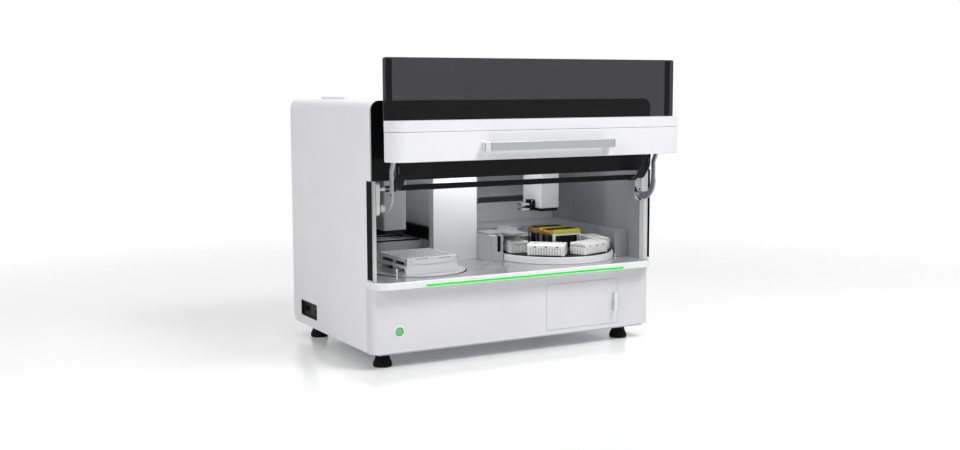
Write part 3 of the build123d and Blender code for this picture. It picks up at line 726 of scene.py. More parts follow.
# %% [markdown]
# ## Tip trays
# Two blocks of tips hang in an aluminium frame in the middle of the carousel. Each block is closed
# by a tray with a navy film, sloped yellow rims along its long sides and orange end caps with two
# white marks. Rims and caps keep one outline along their length, so each is a prism.

# %% Tip trays
TRAY_CENTRES = (-32, 32)
TRAY_LOW = 239
TRAY_TOP = 249


def tray_shape():
    """One tray, centred on the origin, in yellow, navy, orange and white."""
    bm = bmesh.new()
    bar(bm, (-39.5, 39.5), (-22.5, 22.5), (239.2, 248.6), 1)
    for side in (-1, 1):
        rim = [(side * 30, TRAY_LOW), (side * 30, 241.5), (side * 25.5, TRAY_TOP),
               (side * 21.5, TRAY_TOP), (side * 20.5, 247.5), (side * 20.5, TRAY_LOW)]
        prism(bm, rim, (-38.5, 41), "X")
        cap = [(-27, TRAY_LOW), (-27.5, 243), (-21.5, 248.2), (-12, 248.2), (-10.5, 246.8),
               (10.5, 246.8), (12, 248.2), (21.5, 248.2), (27.5, 243), (27, TRAY_LOW)]
        prism(bm, cap, sorted((side * 39, side * 43)), "X", 2)
        for y in (-7, 8):
            turned(bm, [(1.7, side * 42.7), (1.7, side * 43.2)], (y, 244.2), "X", 12, 3)
    return bm


for number, y in enumerate(TRAY_CENTRES, 1):
    spot = Matrix.Translation((CAROUSEL[0], CAROUSEL[1] + y, 0))
    make_piece("tip_tray_%d" % number, tray_shape(), [yellow_abs, navy_film, orange_abs, white_dot_painted_glow],
               "carousel", 0.6, ["tip_trays"], spot)
print("trays", len(TRAY_CENTRES))

# %% [markdown]
# ## Pipette tips and their frame
# Each tip is a cone of black conductive plastic with its point down. Ten steps round the lathe
# are enough for a tip 5 mm wide. Slim square posts carry the frame over the disc.

# %% Pipette tips and the frame's posts
TIP_COLUMNS, TIP_ROWS = 12, 8
TIP_PITCH = 6.2
TIP_PROFILE = [(1.3, 200), (2.3, 222), (2.6, TRAY_LOW)]
POST_HALF = 1.4
POST_PLACES = ((-41.5, -8), (-41.5, 20), (-41.5, -30), (31, -62.5), (-31, 62.5), (31, 62.5), (41.5, 8))


def tip_block(centre_y):
    """Rows of conical tips under one tray."""
    bm = bmesh.new()
    for column in range(TIP_COLUMNS):
        for row in range(TIP_ROWS):
            x = CAROUSEL[0] + (column - (TIP_COLUMNS - 1) / 2) * TIP_PITCH
            y = CAROUSEL[1] + centre_y + (row - (TIP_ROWS - 1) / 2) * TIP_PITCH
            turned(bm, TIP_PROFILE, (x, y), "Z", 10)
    return bm


for number, y in enumerate(TRAY_CENTRES, 1):
    make_piece("tip_block_%d" % number, tip_block(y), [tip_plastic], "carousel", 0.1,
               ["pipette_tips"])
posts = bmesh.new()
for x, y in POST_PLACES:
    bar(posts, (CAROUSEL[0] + x - POST_HALF, CAROUSEL[0] + x + POST_HALF),
        (CAROUSEL[1] + y - POST_HALF, CAROUSEL[1] + y + POST_HALF), (196, 236))
make_piece("tip_rack_posts", posts, [frame_aluminium], "carousel", 0.4)
print("tips", len(TRAY_CENTRES) * TIP_COLUMNS * TIP_ROWS)

# %% [markdown]
# ## Well plate: the wells
# The plate is a white polystyrene moulding with 144 round wells, each with a raised rim, windows
# in its long sides and a crescent finger grip in front. A round hole in a flat top is built cell
# by cell: each cell is a square whose middle is a ring, so the mesh stays clean and the wells
# are real cups. Each pair of the list is a ring's radius and its height over the top.

# %% Wells
PLATE_TOP = 213
MARGIN_HALF = (68.2, 73.2)
FIELD_SHIFT = 4
WELL_PITCH = 11
WELL_SIDE = 12
WELL_STEPS = 16
WELL_RADII = ((4.7, 0), (4.7, 0.5), (4.1, 0.5), (3.9, -2), (3.2, -11))


def well_cell(bm, x, y, top):
    """A square of the plate's top with a rimmed round cup in its middle; the cup's lower wall and
    floor are grey, painted shade.
    """
    half = WELL_PITCH / 2
    angles = [math.pi / 4 + 2 * math.pi * step / WELL_STEPS for step in range(WELL_STEPS)]
    square = []
    for angle in angles:
        reach = half / max(abs(math.cos(angle)), abs(math.sin(angle)))
        square.append(bm.verts.new((x + reach * math.cos(angle), y + reach * math.sin(angle), top)))
    rings = [square] + [[bm.verts.new((x + radius * math.cos(angle), y + radius * math.sin(angle),
                                       top + height)) for angle in angles]
                        for radius, height in WELL_RADII]
    # the lower wall and floor of each cup take the second finish, a grey that is painted shade
    for number, (outer, inner) in enumerate(zip(rings, rings[1:])):
        for here in range(WELL_STEPS):
            there = (here + 1) % WELL_STEPS
            face = bm.faces.new((outer[here], outer[there], inner[there], inner[here]))
            face.material_index = int(number > 2)
    bm.faces.new(rings[-1]).material_index = 1


def plate_top():
    """All the wells and the flat margin round them."""
    bm = bmesh.new()
    top = PLATE_TOP - 0.6
    first = -(WELL_SIDE - 1) / 2 * WELL_PITCH
    for column in range(WELL_SIDE):
        for row in range(WELL_SIDE):
            well_cell(bm, first + column * WELL_PITCH, FIELD_SHIFT + first + row * WELL_PITCH, top)
    field = WELL_SIDE * WELL_PITCH / 2
    half_x, half_y = MARGIN_HALF
    for x in ((-half_x, -field), (field, half_x)):
        bar(bm, x, (-half_y, half_y), (top - 2, top))
    for y in ((-half_y, FIELD_SHIFT - field), (FIELD_SHIFT + field, half_y)):
        bar(bm, (-field, field), y, (top - 2, top))
    bmesh.ops.remove_doubles(bm, verts=bm.verts, dist=0.01)
    return bm


print("wells", WELL_SIDE ** 2)

# %% [markdown]
# ## Well plate: skirt and front
# The skirt is open where the robot's fingers reach under the plate. Bars round each opening are
# the short way to walls with windows: nothing has to be cut. Dark bars behind the openings stand
# for the shaded inside.

# %% Skirt and front
PLATE_HALF = (69, 74)
PLATE_LOW = 194
WINDOW_Z = (195.6, 203.5)
SLOT_Z = (177.2, 186.8)
STILE = 61
CRESCENT_HALF = 54
CRESCENT_STEPS = 12


def plate_skirt():
    """The plate's sides: windowed on the left and right, framed in front, plain behind."""
    bm = bmesh.new()
    half_x, half_y = PLATE_HALF
    for side in (-1, 1):
        edge = sorted((side * half_x, side * (half_x - 2.5)))
        bar(bm, edge, (-half_y, half_y), (PLATE_LOW, WINDOW_Z[0]))
        bar(bm, edge, (-half_y, half_y), (WINDOW_Z[1], PLATE_TOP))
        for y in ((-half_y, -66), (-14, -2), (60, half_y)):
            bar(bm, edge, y, WINDOW_Z)
        for y in ((-65, -15), (-1, 59)):
            bar(bm, sorted((side * 51.2, side * 52)), y, SLOT_Z, 1)
    bar(bm, (-50, 50), (-69, 69), (PLATE_LOW + 0.4, 199.5), 1)
    bar(bm, (-half_x, half_x), (half_y - 2.5, half_y), (PLATE_LOW, PLATE_TOP))
    return bm


def plate_front():
    """Front face: stiles and rails round a recess, a crescent grip and two slots drawn as dark bars,
    which is painted shade.
    """
    bm = bmesh.new()
    half_x, half_y = PLATE_HALF
    face = -half_y
    bar(bm, (-half_x + 1, half_x - 1), (face + 3.4, face + 5), (PLATE_LOW, PLATE_TOP - 1))
    for side in (-1, 1):
        bar(bm, sorted((side * half_x, side * STILE)), (face, face + 4), (PLATE_LOW, PLATE_TOP))
    bar(bm, (-STILE, STILE), (face, face + 4), (208.4, PLATE_TOP))
    bar(bm, (-STILE, STILE), (face, face + 4), (PLATE_LOW, 195.4))
    # the two slots are dark bars, painted shade in place of their depth
    for x in ((-44, -12), (18, 49)):
        bar(bm, x, (face - 0.1, face + 2), (209.8, 211.2), 1)
    crescent = [(-CRESCENT_HALF + 1, 208.2), (CRESCENT_HALF - 1, 208.2)]
    for step in range(CRESCENT_STEPS + 1):
        share = 1 - 2 * step / CRESCENT_STEPS
        crescent.append((share * CRESCENT_HALF, 201.6 - 4.0 * (1 - share ** 2)))
    prism(bm, crescent, (face + 0.1, face + 4), "Y")
    return bm


print("plate", 2 * PLATE_HALF[0], "by", 2 * PLATE_HALF[1], "mm")

# %% [markdown]
# ## Well plate: three pieces on the turntable
# Top, skirt and front are kept apart, since the fine wells want a far smaller edge radius than
# the thick skirt. All three stand for the one solid plate.

# %% Plate on the turntable
TURNTABLE = (-212, 122)
plate_spot = Matrix.Translation((*TURNTABLE, 0))
# the grey second finish of the wells is painted shade inside the cups
make_piece("well_plate_top", plate_top(), [plate_ps, shade_grey_paint], "turntable", 0.12,
           ["well_plate"], plate_spot)
make_piece("well_plate_skirt", plate_skirt(), [plate_ps, dark_coat], "turntable", 0.4,
           ["well_plate"], plate_spot)
make_piece("well_plate_front", plate_front(), [plate_ps, dark_coat], "turntable", 0.4,
           ["well_plate"], plate_spot)
print("plate centred on", TURNTABLE)

# %% [markdown]
# ## Gap round the turntable
# The turntable sits in a ring gap in the deck, which reads as a dark line. A thin dark ring, in the
# black of the rubber seals, is painted shade for the gap and shows it without a cut in the deck.

# %% Ring gap
DECK = 172
GAP_RADII = (114.4, 117.2)
inner, outer = GAP_RADII
ring = bmesh.new()
turned(ring, [(inner, DECK + 0.1), (outer, DECK + 0.1), (outer, DECK + 0.7), (inner, DECK + 0.7)],
       TURNTABLE, "Z", 96, closed=True)
# the dark ring is painted shade of the gap
make_piece("turntable_gap_painted_shade", ring, [seal_rubber], "frame", 0.15)
print("gap", round(outer - inner, 1), "mm wide")

# %% [markdown]
# ## Rail bed under the left head
# Behind the plate the deck steps up to a dark bed with linear rails for the left head's drive.
# It is sheet metal, so bars do for its walls, and each rail is a dark strip with a steel track.

# %% Rail bed
BED_TOP = 222
BED_REAR_TOP = 257
BED_LEFT = -374.5
RAIL_SPAN = (-370, -120)
RAIL_PLACES = (300, 322, 350, 396)
bed = bmesh.new()
bar(bed, (BED_LEFT, -116), (289, 292), (DECK + 0.2, BED_TOP), 1)
bar(bed, (-118, -115.5), (252, 290), (DECK + 0.2, BED_TOP + 3), 1)
bar(bed, (BED_LEFT, -118), (292, 439.5), (BED_TOP - 4, BED_TOP - 1))
bar(bed, (BED_LEFT, -112), (436, 439.5), (BED_TOP, BED_REAR_TOP))
bar(bed, (-117.9, -115.4), (256.5, 436), (BED_TOP + 3, BED_REAR_TOP))
for y in RAIL_PLACES:
    bar(bed, RAIL_SPAN, (y, y + 8), (BED_TOP - 1, BED_TOP + 3))
    bar(bed, RAIL_SPAN, (y + 2, y + 6), (BED_TOP + 3, BED_TOP + 4.5), 2)
make_piece("left_rear_bed", bed, [dark_coat, platform_paint, plated_steel], "frame",
           0.5)
print("rails", len(RAIL_PLACES))

# %% [markdown]
# ## Front of the deck
# The deck's polished sheet runs out over the shelf to its rounded corners. One thin plate with
# two quarter circles in its outline carries it there, and a dark plate in the notch of the block
# beside the carousel is painted shade.

# %% Deck skin and notch
SKIN_EDGE = 388
SKIN_FRONT = -26.5
SKIN_ROUND = 36.5
SKIN_STEP = 10
skin = bmesh.new()
outline = [(SKIN_EDGE, 33), (-SKIN_EDGE, 33)]
for side, turn in ((-1, range(0, 91, SKIN_STEP)), (1, range(90, -1, -SKIN_STEP))):
    for degrees in turn:
        reach = math.radians(degrees)
        outline.append((side * (SKIN_EDGE - SKIN_ROUND + SKIN_ROUND * math.cos(reach)),
                        SKIN_FRONT + SKIN_ROUND - SKIN_ROUND * math.sin(reach)))
prism(skin, outline, (DECK - 0.1, DECK + 0.4))
make_piece("deck_front_skin", skin, [deck_paint], "frame", 0.1)
# dark plate in the block's notch: painted shade
notch = bmesh.new()
bar(notch, (28.3, 39.7), (159, 171.9), (195.1, 235))
make_piece("block_notch_painted_shade", notch, [dark_coat], "frame", 0.4)
print("skin", 2 * SKIN_EDGE, "mm wide")

# %% [markdown]
# ## Feet
# Each levelling foot is a rubber boot over a threaded pad: wide below, pulled in above. That is a
# turned profile, from the bench up to the casing.

# %% Turned feet
FOOT_PLACES = [(x, y) for x in (-345, 327) for y in (46, 440)]
FOOT_PROFILE = [(21, -34), (22.4, -32.5), (22.4, -26), (20.8, -22), (17.6, -15), (16.4, -8), (16, 0)]
feet = bmesh.new()
for x, y in FOOT_PLACES:
    turned(feet, FOOT_PROFILE, (x, y), "Z", 32)
make_piece("turned_feet", feet, [foot_rubber], "frame", 0.4, ["levelling_feet"])
print("feet", len(FOOT_PLACES))

# %% [markdown]
# ## Deck pins
# Short steel pins on the deck locate what is set down there, and one slim rod stands at the left
# front. They are turned, with a shoulder that rests on the deck.

# %% Deck pins
PIN_PLACES = ((-92, 150), (330, 66), (338, 84))
PIN_PROFILE = [(4, DECK + 0.1), (4, DECK + 2), (2.2, DECK + 2.4), (2.2, DECK + 8), (1.4, DECK + 9)]
ROD_PLACE = (-324.5, 6)
ROD_PROFILE = [(1.3, DECK + 0.3), (1.3, DECK + 26), (0.7, DECK + 27)]
pins = bmesh.new()
for x, y in PIN_PLACES:
    turned(pins, PIN_PROFILE, (x, y), "Z", 20)
turned(pins, ROD_PROFILE, ROD_PLACE, "Z", 16)
make_piece("deck_pins", pins, [bright_steel], "frame", 0.2)
print("pins", len(PIN_PLACES) + 1)

# %% [markdown]
# ## Door handle
# The pull handle is a brushed aluminium extrusion closed by two polished end caps, with a thin
# dark joint between them. The solid's handle is one bar, so it is drawn anew from bars that meet
# at the joints, and its brushing runs along it.

# %% Handle
HANDLE_HALF = 175
HANDLE_FRONT = -150
HANDLE_BACK = -126
HANDLE_Z = (471, 491)


def handle_shape():
    """Bar on two end legs; a dark joint parts each leg from its polished cap."""
    bm = bmesh.new()
    front, back = HANDLE_FRONT, HANDLE_BACK
    low, high = HANDLE_Z
    bar(bm, (-HANDLE_HALF + 13, HANDLE_HALF - 3), (front, front + 7), (low, high))
    bar(bm, (-HANDLE_HALF, -HANDLE_HALF + 12.4), (front, front + 7), (low, high), 1)
    bar(bm, (HANDLE_HALF - 2.6, HANDLE_HALF), (front, front + 7), (low, high), 1)
    for side in (-1, 1):
        bar(bm, sorted((side * (HANDLE_HALF - 13.2), side * (HANDLE_HALF - 0.6))),
            (front + 0.6, front + 10.5), (low + 0.6, high - 0.6), 2)
        bar(bm, sorted((side * (HANDLE_HALF - 12), side * HANDLE_HALF)), (front + 10, back),
            (low, high), 1)
    return bm


make_piece("door_handle_trimmed", handle_shape(), [handle_aluminium, bright_steel, dark_coat], "door",
           1.2, ["door_handle"])
print("handle length", 2 * HANDLE_HALF, "mm")

# %% [markdown]
# ## Rivet heads of the door linkage
# The arms are silver pressings on riveted studs, and a rivet head closes every pivot. The two
# pivots on the door stand one arm's reach in front of and above the fixed ones, so they are
# worked out from those. Each head rides on the body whose pin it is.

# %% Rivet heads
UPPER_PIVOT = (10, 383)
LOWER_PIVOT = (10, 340)
ARM_REACH = 80
ARM_RISE = 126.4


def rivet(bm, x, facing, centre, radius=5.5, paint=0):
    """Domed head on an X-wards pin, facing +X (1) or -X (-1)."""
    profile = [(radius, x), (radius * 0.9, x + facing * 1.0), (radius * 0.5, x + facing * 1.7)]
    turned(bm, profile, centre, "X", 24, paint)


door_pivots = [(pivot[0] - ARM_REACH, pivot[1] + ARM_RISE) for pivot in (UPPER_PIVOT, LOWER_PIVOT)]
fixed_heads = bmesh.new()
door_heads = bmesh.new()
for side in (-1, 1):
    rivet(fixed_heads, side * 322.8, -side, UPPER_PIVOT)
    rivet(fixed_heads, side * 357.9, -side, LOWER_PIVOT, 6)
    rivet(door_heads, side * 332.8, -side, door_pivots[0], 5)
    rivet(door_heads, side * 365.2, side, door_pivots[1], 5)
make_piece("fixed_pivot_heads", fixed_heads, [bright_steel], "frame", 0.2)
make_piece("door_pivot_heads", door_heads, [bright_steel], "door", 0.2)
print("pivot heads", 4 * 2)

# %% [markdown]
# ## Clamps and latches
# A bright clamp holds each lower arm next to its fixed pivot. The bracket beside it carries a
# latch: a round boss, a dark hook and three small screws. The arm passes the bracket closely, so
# both sets are thin, with a gap of 0.3 mm between them.

# %% Clamps and latches
ARM_CHEEK = 363.9
CLAMP_FACE = 365
LATCH_X = (365.3, 365.9)
CLAMP_PLATE = [(6, 332.5), (6, 347), (-22, 349), (-22, 334.5)]
LATCH_HOOK = [(4, 325), (10, 323), (31, 345), (31, 358), (26, 358), (25, 348), (8, 333), (4, 332)]
LATCH_SCREWS = ((12, 352), (24, 349), (17, 329))

for side, body in ((-1, "left_lower_arm"), (1, "right_lower_arm")):
    clamp = bmesh.new()
    prism(clamp, CLAMP_PLATE, sorted((side * ARM_CHEEK, side * CLAMP_FACE)), "X")
    stud = [(2.6, side * ARM_CHEEK), (2.6, side * 364.8), (2.2, side * CLAMP_FACE)]
    turned(clamp, stud, (-49, 374), "X", 16, 1)
    make_piece("lower_arm_clamp_" + body.split("_")[0], clamp, [bright_steel, dark_coat], body,
               0.3)

latch = bmesh.new()
for side in (-1, 1):
    face, root = (side * x for x in LATCH_X)
    turned(latch, [(6.5, root), (6, face)], (16, 389), "X", 28)
    for y, z in LATCH_SCREWS:
        turned(latch, [(2.6, root), (2.3, face)], (y, z), "X", 16, 1)
    prism(latch, LATCH_HOOK, sorted((root, face)), "X", 1)
make_piece("bracket_latches", latch, [arm_paint, dark_coat], "frame", 0.3)
print("gap between clamp and latch", round(LATCH_X[0] - CLAMP_FACE, 1), "mm")

# %% [markdown]
# ## Power button
# The power button is a grey cap in a lit green ring inside a white bezel. Its shapes are all
# turned. Ring and cap ride on the button's body, so the light moves with the press, and the bezel
# stays with the casing.

# %% Power button
BUTTON = (-322, 52.5)
button = bmesh.new()
turned(button, [(8.6, 15), (8.6, -1.6), (8.2, -2.1), (6.1, -2.1), (6.1, 0)], BUTTON, "Y", 48, 0)
turned(button, [(5.9, 0), (5.9, -1.9), (5.4, -2.4), (2.5, -2.2)], BUTTON, "Y", 40, 1)
make_piece("power_button_lit", button, [green_ring, button_abs], "power_button", 0.2,
           ["power_button"])
bezel = bmesh.new()
turned(bezel, [(10.4, 4), (10.4, -0.4), (11.2, -1.4), (12.6, -1.6), (13.6, -1.0), (14, 0), (12, 0.2),
               (12, 4)], BUTTON, "Y", 56, closed=True)
# the plum ring in the gap between bezel and cap is painted shade
turned(bezel, [(10.4, 3), (8.8, 3), (8.8, -0.2), (10.4, -0.2)], BUTTON, "Y", 56, 1, closed=True)
make_piece("button_bezel_trim", bezel, [white_abs, button_shadow], "frame", 0.2,
           ["button_bezel"])
print("button", 2 * 8.6, "mm across")

# %% [markdown]
# ## Appliance inlet
# The inlet is a moulded socket on a recessed dark panel, with three flat plated pins that a mains
# cord would slide over. A thin pale frame trims the panel and a raised rim runs round the socket.

# %% Inlet frame, pins and rim
INLET_PANEL = (340, 450, 27, 67)
PANEL_TRIM = 1.5
CONTACTS = ((415, 45), (422, 49), (429, 45))
RIM_Y, RIM_Z = (405.5, 438.5), (35.5, 58.5)
inlet = bmesh.new()
y0, y1, z0, z1 = INLET_PANEL
for y in ((y0 - PANEL_TRIM, y0), (y1, y1 + PANEL_TRIM)):
    bar(inlet, (-390.6, -386), y, (z0 - PANEL_TRIM, z1 + PANEL_TRIM))
for z in ((z0 - PANEL_TRIM, z0), (z1, z1 + PANEL_TRIM)):
    bar(inlet, (-390.6, -386), (y0, y1), z)
make_piece("inlet_panel_frame", inlet, [white_abs], "frame", 0.4)

contacts = bmesh.new()
for y, z in CONTACTS:
    bar(contacts, (-375.6, -366), (y - 1.2, y + 1.2), (z - 2.2, z + 2.2))
for y in ((RIM_Y[0], RIM_Y[0] + PANEL_TRIM), (RIM_Y[1] - PANEL_TRIM, RIM_Y[1])):
    bar(contacts, (-384.6, -382.5), y, RIM_Z, 1)
for z in ((RIM_Z[0], RIM_Z[0] + PANEL_TRIM), (RIM_Z[1] - PANEL_TRIM, RIM_Z[1])):
    bar(contacts, (-384.6, -382.5), RIM_Y, z, 1)
make_piece("inlet_pins_and_rim", contacts, [plated_steel, inlet_nylon], "frame", 0.3)
print("inlet panel", y1 - y0, "by", z1 - z0, "mm")

# %% [markdown]
# ## Pull of the access door
# A flat upright pull with round ends opens the small front door. Its outline is a pill shape: two
# half circles that are moved apart.

# %% Access door's pull
PULL_X = 278
PULL_ENDS = (50, 91)
PULL_RADIUS = 3.4
PULL_STEP = 20
pill = []
for degrees in range(0, 360, PULL_STEP):
    middle = PULL_ENDS[1] if degrees <= 180 else PULL_ENDS[0]
    pill.append((PULL_X + PULL_RADIUS * math.cos(math.radians(degrees)),
                 middle + PULL_RADIUS * math.sin(math.radians(degrees))))
pull = bmesh.new()
prism(pull, pill, (-14, 0), "Y")
make_piece("access_handle_pull", pull, [bright_steel], "access_door", 0.8,
           ["access_handle"])
print("pull", round(PULL_ENDS[1] - PULL_ENDS[0] + 2 * PULL_RADIUS, 1), "mm high")

# %% [markdown]
# ## Lights on the fan-shaped cover
# Six small indicator dots follow the curve of the cover beside the carousel, so their places are
# worked out as angles round the carousel's middle.

# %% Indicator dots
DOT_COUNT = 6
DOT_RADIUS = 124
DOT_START = 128
DOT_TURN = 11
dots = bmesh.new()
for step in range(DOT_COUNT):
    angle = math.radians(DOT_START + step * DOT_TURN)
    spot = (CAROUSEL[0] + DOT_RADIUS * math.cos(angle), CAROUSEL[1] + DOT_RADIUS * math.sin(angle))
    turned(dots, [(2.4, 242.8), (2.4, 243.4), (1.8, 243.7)], spot, "Z", 16)
make_piece("fan_cover_dots", dots, [white_dot_painted_glow], "frame", 0.2)
print("indicator dots", DOT_COUNT)

# %% [markdown]
# ## Gripper trim
# The gripper has a slotted knob, a short lever and rubber-tipped jaws. Each rubber pad rides on
# its own jaw, so the pads close with the jaws.

# %% Knob, lever and jaw pads
PAD_HEIGHTS = {"gripper_upper_jaw": (307.4, 308.2), "gripper_lower_jaw": (300.4, 301.1)}
trim = bmesh.new()
turned(trim, [(5.4, 176), (5.4, 171.5), (4.6, 170.5)], (146, 316), "Y", 24)
bar(trim, (142, 150), (169.2, 170.6), (315, 317), 1)
bar(trim, (139, 153), (175, 176.4), (297, 307), 1)
make_piece("gripper_trim", trim, [plated_steel, black_abs], "right_head", 0.3)
for jaw, z in PAD_HEIGHTS.items():
    pad = bmesh.new()
    bar(pad, (118, 132), (179.5, 196.5), z)
    make_piece(jaw + "_pad", pad, [seal_rubber], jaw, 0.15)
print("jaw pads", len(PAD_HEIGHTS))

# %% [markdown]
# ## Rear fan
# Behind the round opening of the back sheet turns a small axial fan. Its blades are twisted
# plates round a hub: the four corners of each are worked out, with more slope at the hub than at
# the tip, and doubled to give the blade its thickness.

# %% Fan
FAN = (0, 440)
BLADES = 7
BLADE_MIDDLE = 491.5
BLADE_THICKNESS = 1.2
BLADE_ENDS = ((15, 0.30, 6.0), (49, 0.34, 3.5))
fan = bmesh.new()
turned(fan, [(16, 484), (16, 497), (14, 499)], FAN, "Y", 32)
for blade in range(BLADES):
    angle = 2 * math.pi * blade / BLADES
    corners = []
    for radius, half_turn, depth in BLADE_ENDS:
        for sign in (-1, 1):
            spot = angle + sign * half_turn
            corners.append((FAN[0] + radius * math.cos(spot), BLADE_MIDDLE + sign * depth,
                            FAN[1] + radius * math.sin(spot)))
    front = [fan.verts.new(corner) for corner in corners]
    back = [fan.verts.new((x, y + BLADE_THICKNESS, z)) for x, y, z in corners]
    order = (0, 1, 3, 2)
    fan.faces.new([front[i] for i in order])
    fan.faces.new([back[i] for i in reversed(order)])
    for here in range(4):
        i, j = order[here], order[(here + 1) % 4]
        fan.faces.new((front[j], front[i], back[i], back[j]))
turned(fan, [(52.5, 484), (55, 484), (55, 502.5), (52.5, 502.5)], FAN, "Y", 64, closed=True)
make_piece("rear_fan", fan, [black_abs], "frame", 0.3)
print("fan blades", BLADES)

# %% [markdown]
# ## Fan guard and louvres
# Four wire rings in the opening keep fingers out, each a small circle spun on the lathe. Sloping
# blades behind the slots of the back sheet let air out and keep splashes from coming in.

# %% Guard and louvre blades
WIRE_RADIUS = 0.9
WIRE_Y = 505
RING_RADII = (22, 30, 38, 46)
LOUVRE_PLACES = (-230, 230)
LOUVRE_BLADES = 9
LOUVRE_MIDDLE = 150
LOUVRE_PITCH = 16
LOUVRE_HALF = 44.8
guard = bmesh.new()
for radius in RING_RADII:
    wire = [(radius + WIRE_RADIUS * math.cos(math.pi * corner / 4),
             WIRE_Y + WIRE_RADIUS * math.sin(math.pi * corner / 4)) for corner in range(8)]
    turned(guard, wire, FAN, "Y", 64, closed=True)
make_piece("rear_fan_guard", guard, [plated_steel], "frame", 0.05)

louvres = bmesh.new()
for x in LOUVRE_PLACES:
    for step in range(LOUVRE_BLADES):
        z = LOUVRE_MIDDLE + (step - (LOUVRE_BLADES - 1) / 2) * LOUVRE_PITCH
        prism(louvres, [(497, z + 6), (498.5, z + 6), (506.5, z - 2), (505, z - 2)],
              (x - LOUVRE_HALF, x + LOUVRE_HALF), "X")
make_piece("rear_louvre_blades", louvres, [rear_paint], "frame", 0.3)
print("louvre blades", len(LOUVRE_PLACES) * LOUVRE_BLADES)

# %% [markdown]
# ## Floor
# A pale polished floor takes the machine's soft shadow and a faint mirror image of it. It fades
# out into the white background, so no horizon shows. A small glow that only the camera and
# mirrors see lifts it to that white and casts no light on the machine.

# %% Floor
FLOOR_HALF = 6.0
FLOOR_PATCH = 900
FLOOR_FADE = (1.3, 2.3)
FLOOR_LIFT = 0.12


def make_floor():
    """One large pale sheet under the machine that fades out far from it."""
    mesh = bpy.data.meshes.new("floor")
    corners = [(x * FLOOR_HALF, y * FLOOR_HALF, 0) for x, y in ((-1, -1), (1, -1), (1, 1), (-1, 1))]
    mesh.from_pydata(corners, [], [(0, 1, 2, 3)])
    floor = bpy.data.objects.new("floor", mesh)
    bpy.context.scene.collection.objects.link(floor)
    material, tree, shader, coords = start_material("pale_polished_floor")
    tree.links.new(tone(tree, coords, "#F6F6F6", "#F9F9F9", FLOOR_PATCH), shader.inputs["Base Color"])
    shader.inputs["Roughness"].default_value = 0.16
    shader.inputs["Specular IOR Level"].default_value = 0.35
    path = add_node(tree, "ShaderNodeLightPath")
    seen = add_node(tree, "ShaderNodeMath", {"operation": "MAXIMUM"}, {
        0: path.outputs["Is Camera Ray"], 1: path.outputs["Is Glossy Ray"]})
    lift = add_node(tree, "ShaderNodeMath", {"operation": "MULTIPLY"}, {
        0: seen.outputs[0], 1: FLOOR_LIFT})
    shader.inputs["Emission Color"].default_value = linear("#FFFFFF")
    tree.links.new(lift.outputs[0], shader.inputs["Emission Strength"])
    reach = add_node(tree, "ShaderNodeVectorMath", {"operation": "LENGTH"})
    tree.links.new(coords, reach.inputs[0])
    solid = add_node(tree, "ShaderNodeMapRange", inputs={
        "Value": reach.outputs["Value"], "From Min": FLOOR_FADE[0], "From Max": FLOOR_FADE[1],
        "To Min": 1.0, "To Max": 0.0})
    tree.links.new(solid.outputs["Result"], shader.inputs["Alpha"])
    mesh.materials.append(material)
    return floor


make_floor()
print("floor fades from", FLOOR_FADE[0], "to", FLOOR_FADE[1], "m")

# %% [markdown]
# ## White background
# The background is plain white as the camera, mirrors and glass see it, while the light that the
# world throws on the machine is much weaker. The shader asks what kind of ray looks at it, and
# gives a strength of 1 to those three and a plain grey level to the rest.

# %% World
WORLD_LEVEL = 0.29


def make_world(level):
    """Plain grey light, and plain white where camera, mirrors and glass look past everything."""
    world = bpy.data.worlds.new("studio")
    bpy.context.scene.world = world
    world.use_nodes = True
    tree = world.node_tree
    tree.nodes.clear()
    path = add_node(tree, "ShaderNodeLightPath")
    seen = add_node(tree, "ShaderNodeMath", {"operation": "MAXIMUM"}, {
        0: path.outputs["Is Camera Ray"], 1: path.outputs["Is Glossy Ray"]})
    seen = add_node(tree, "ShaderNodeMath", {"operation": "MAXIMUM"}, {
        0: seen.outputs[0], 1: path.outputs["Is Transmission Ray"]})
    strength = add_node(tree, "ShaderNodeMapRange", inputs={
        "Value": seen.outputs[0], "To Min": level, "To Max": 1.0})
    glow = add_node(tree, "ShaderNodeBackground", inputs={
        "Color": linear("#FFFFFF"), "Strength": strength.outputs["Result"]})
    add_node(tree, "ShaderNodeOutputWorld", inputs={"Surface": glow.outputs[0]})


make_world(WORLD_LEVEL)
print("world gives", WORLD_LEVEL, "of white as light")

# %% [markdown]
# ## Lamps
# Three softboxes light the machine like a product on a table: a key from the upper right, a fill
# from the left and a weak one from above. Large ones keep the shadows soft. Two small strips under
# the roof are the machine's own work lights, without which the space inside would be dark.

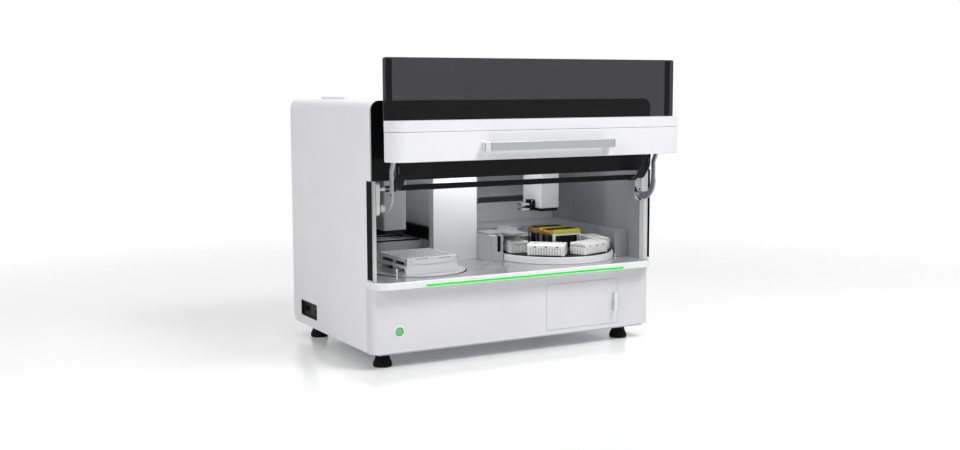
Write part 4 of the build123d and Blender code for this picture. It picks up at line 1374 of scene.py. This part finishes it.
# %% Softboxes and work lights
def lamp(name, position, target, width, height, power):
    """One rectangular softbox aimed at a point."""
    light = bpy.data.lights.new(name, "AREA")
    light.shape = "RECTANGLE"
    light.size = width
    light.size_y = height
    light.energy = power
    box = bpy.data.objects.new(name, light)
    box.location = position
    box.rotation_euler = (Vector(target) - Vector(position)).to_track_quat("-Z", "Y").to_euler()
    bpy.context.scene.collection.objects.link(box)
    return box


MACHINE_MIDDLE = (0, 0, 0.35)
lamp("key_softbox", (0.9, -1.7, 2.7), MACHINE_MIDDLE, 1.4, 1.0, 62)
lamp("left_softbox", (-2.4, -1.5, 1.6), MACHINE_MIDDLE, 1.2, 1.2, 24)
lamp("top_softbox", (-0.6, 0.3, 2.6), MACHINE_MIDDLE, 1.8, 1.6, 9.5)
lamp("column_work_light", place(-50, 110, 556), place(-52, 240, 400), 0.20, 0.05, 0.86)
lamp("bay_work_light", place(110, 60, 556), place(80, 430, 400), 0.30, 0.05, 0.58)
print("lamps", len(bpy.data.lights))

# %% [markdown]
# ## Camera
# The camera stands about three metres away, to the left of the machine and a little above its
# middle, turned towards it and looking slightly down. A long lens keeps the upright edges calm.

# %% Camera
IMAGE_WIDTH = 960
FOCAL_PIXELS = 1208.8
SENSOR_WIDTH = 36
STANDPOINT = (-1496.8, -2481.8, 611.4)
YAW = math.radians(29.214)
PITCH = math.radians(6.489)
ROLL = math.radians(-0.143)


def make_camera():
    """A camera at its standpoint, with its lens worked out from a focal length in pixels."""
    data = bpy.data.cameras.new("camera")
    data.sensor_width = SENSOR_WIDTH
    data.lens = FOCAL_PIXELS * SENSOR_WIDTH / IMAGE_WIDTH
    camera = bpy.data.objects.new("camera", data)
    turn = Matrix.Rotation(-YAW, 4, "Z") @ Matrix.Rotation(math.pi / 2 - PITCH, 4, "X")
    turn = turn @ Matrix.Rotation(ROLL, 4, "Z")
    camera.matrix_world = Matrix.Translation(place(*STANDPOINT)) @ turn
    bpy.context.scene.collection.objects.link(camera)
    bpy.context.scene.camera = camera
    return camera


camera = make_camera()
bpy.context.scene.view_settings.view_transform = "Standard"
print("lens", round(camera.data.lens, 2), "mm")
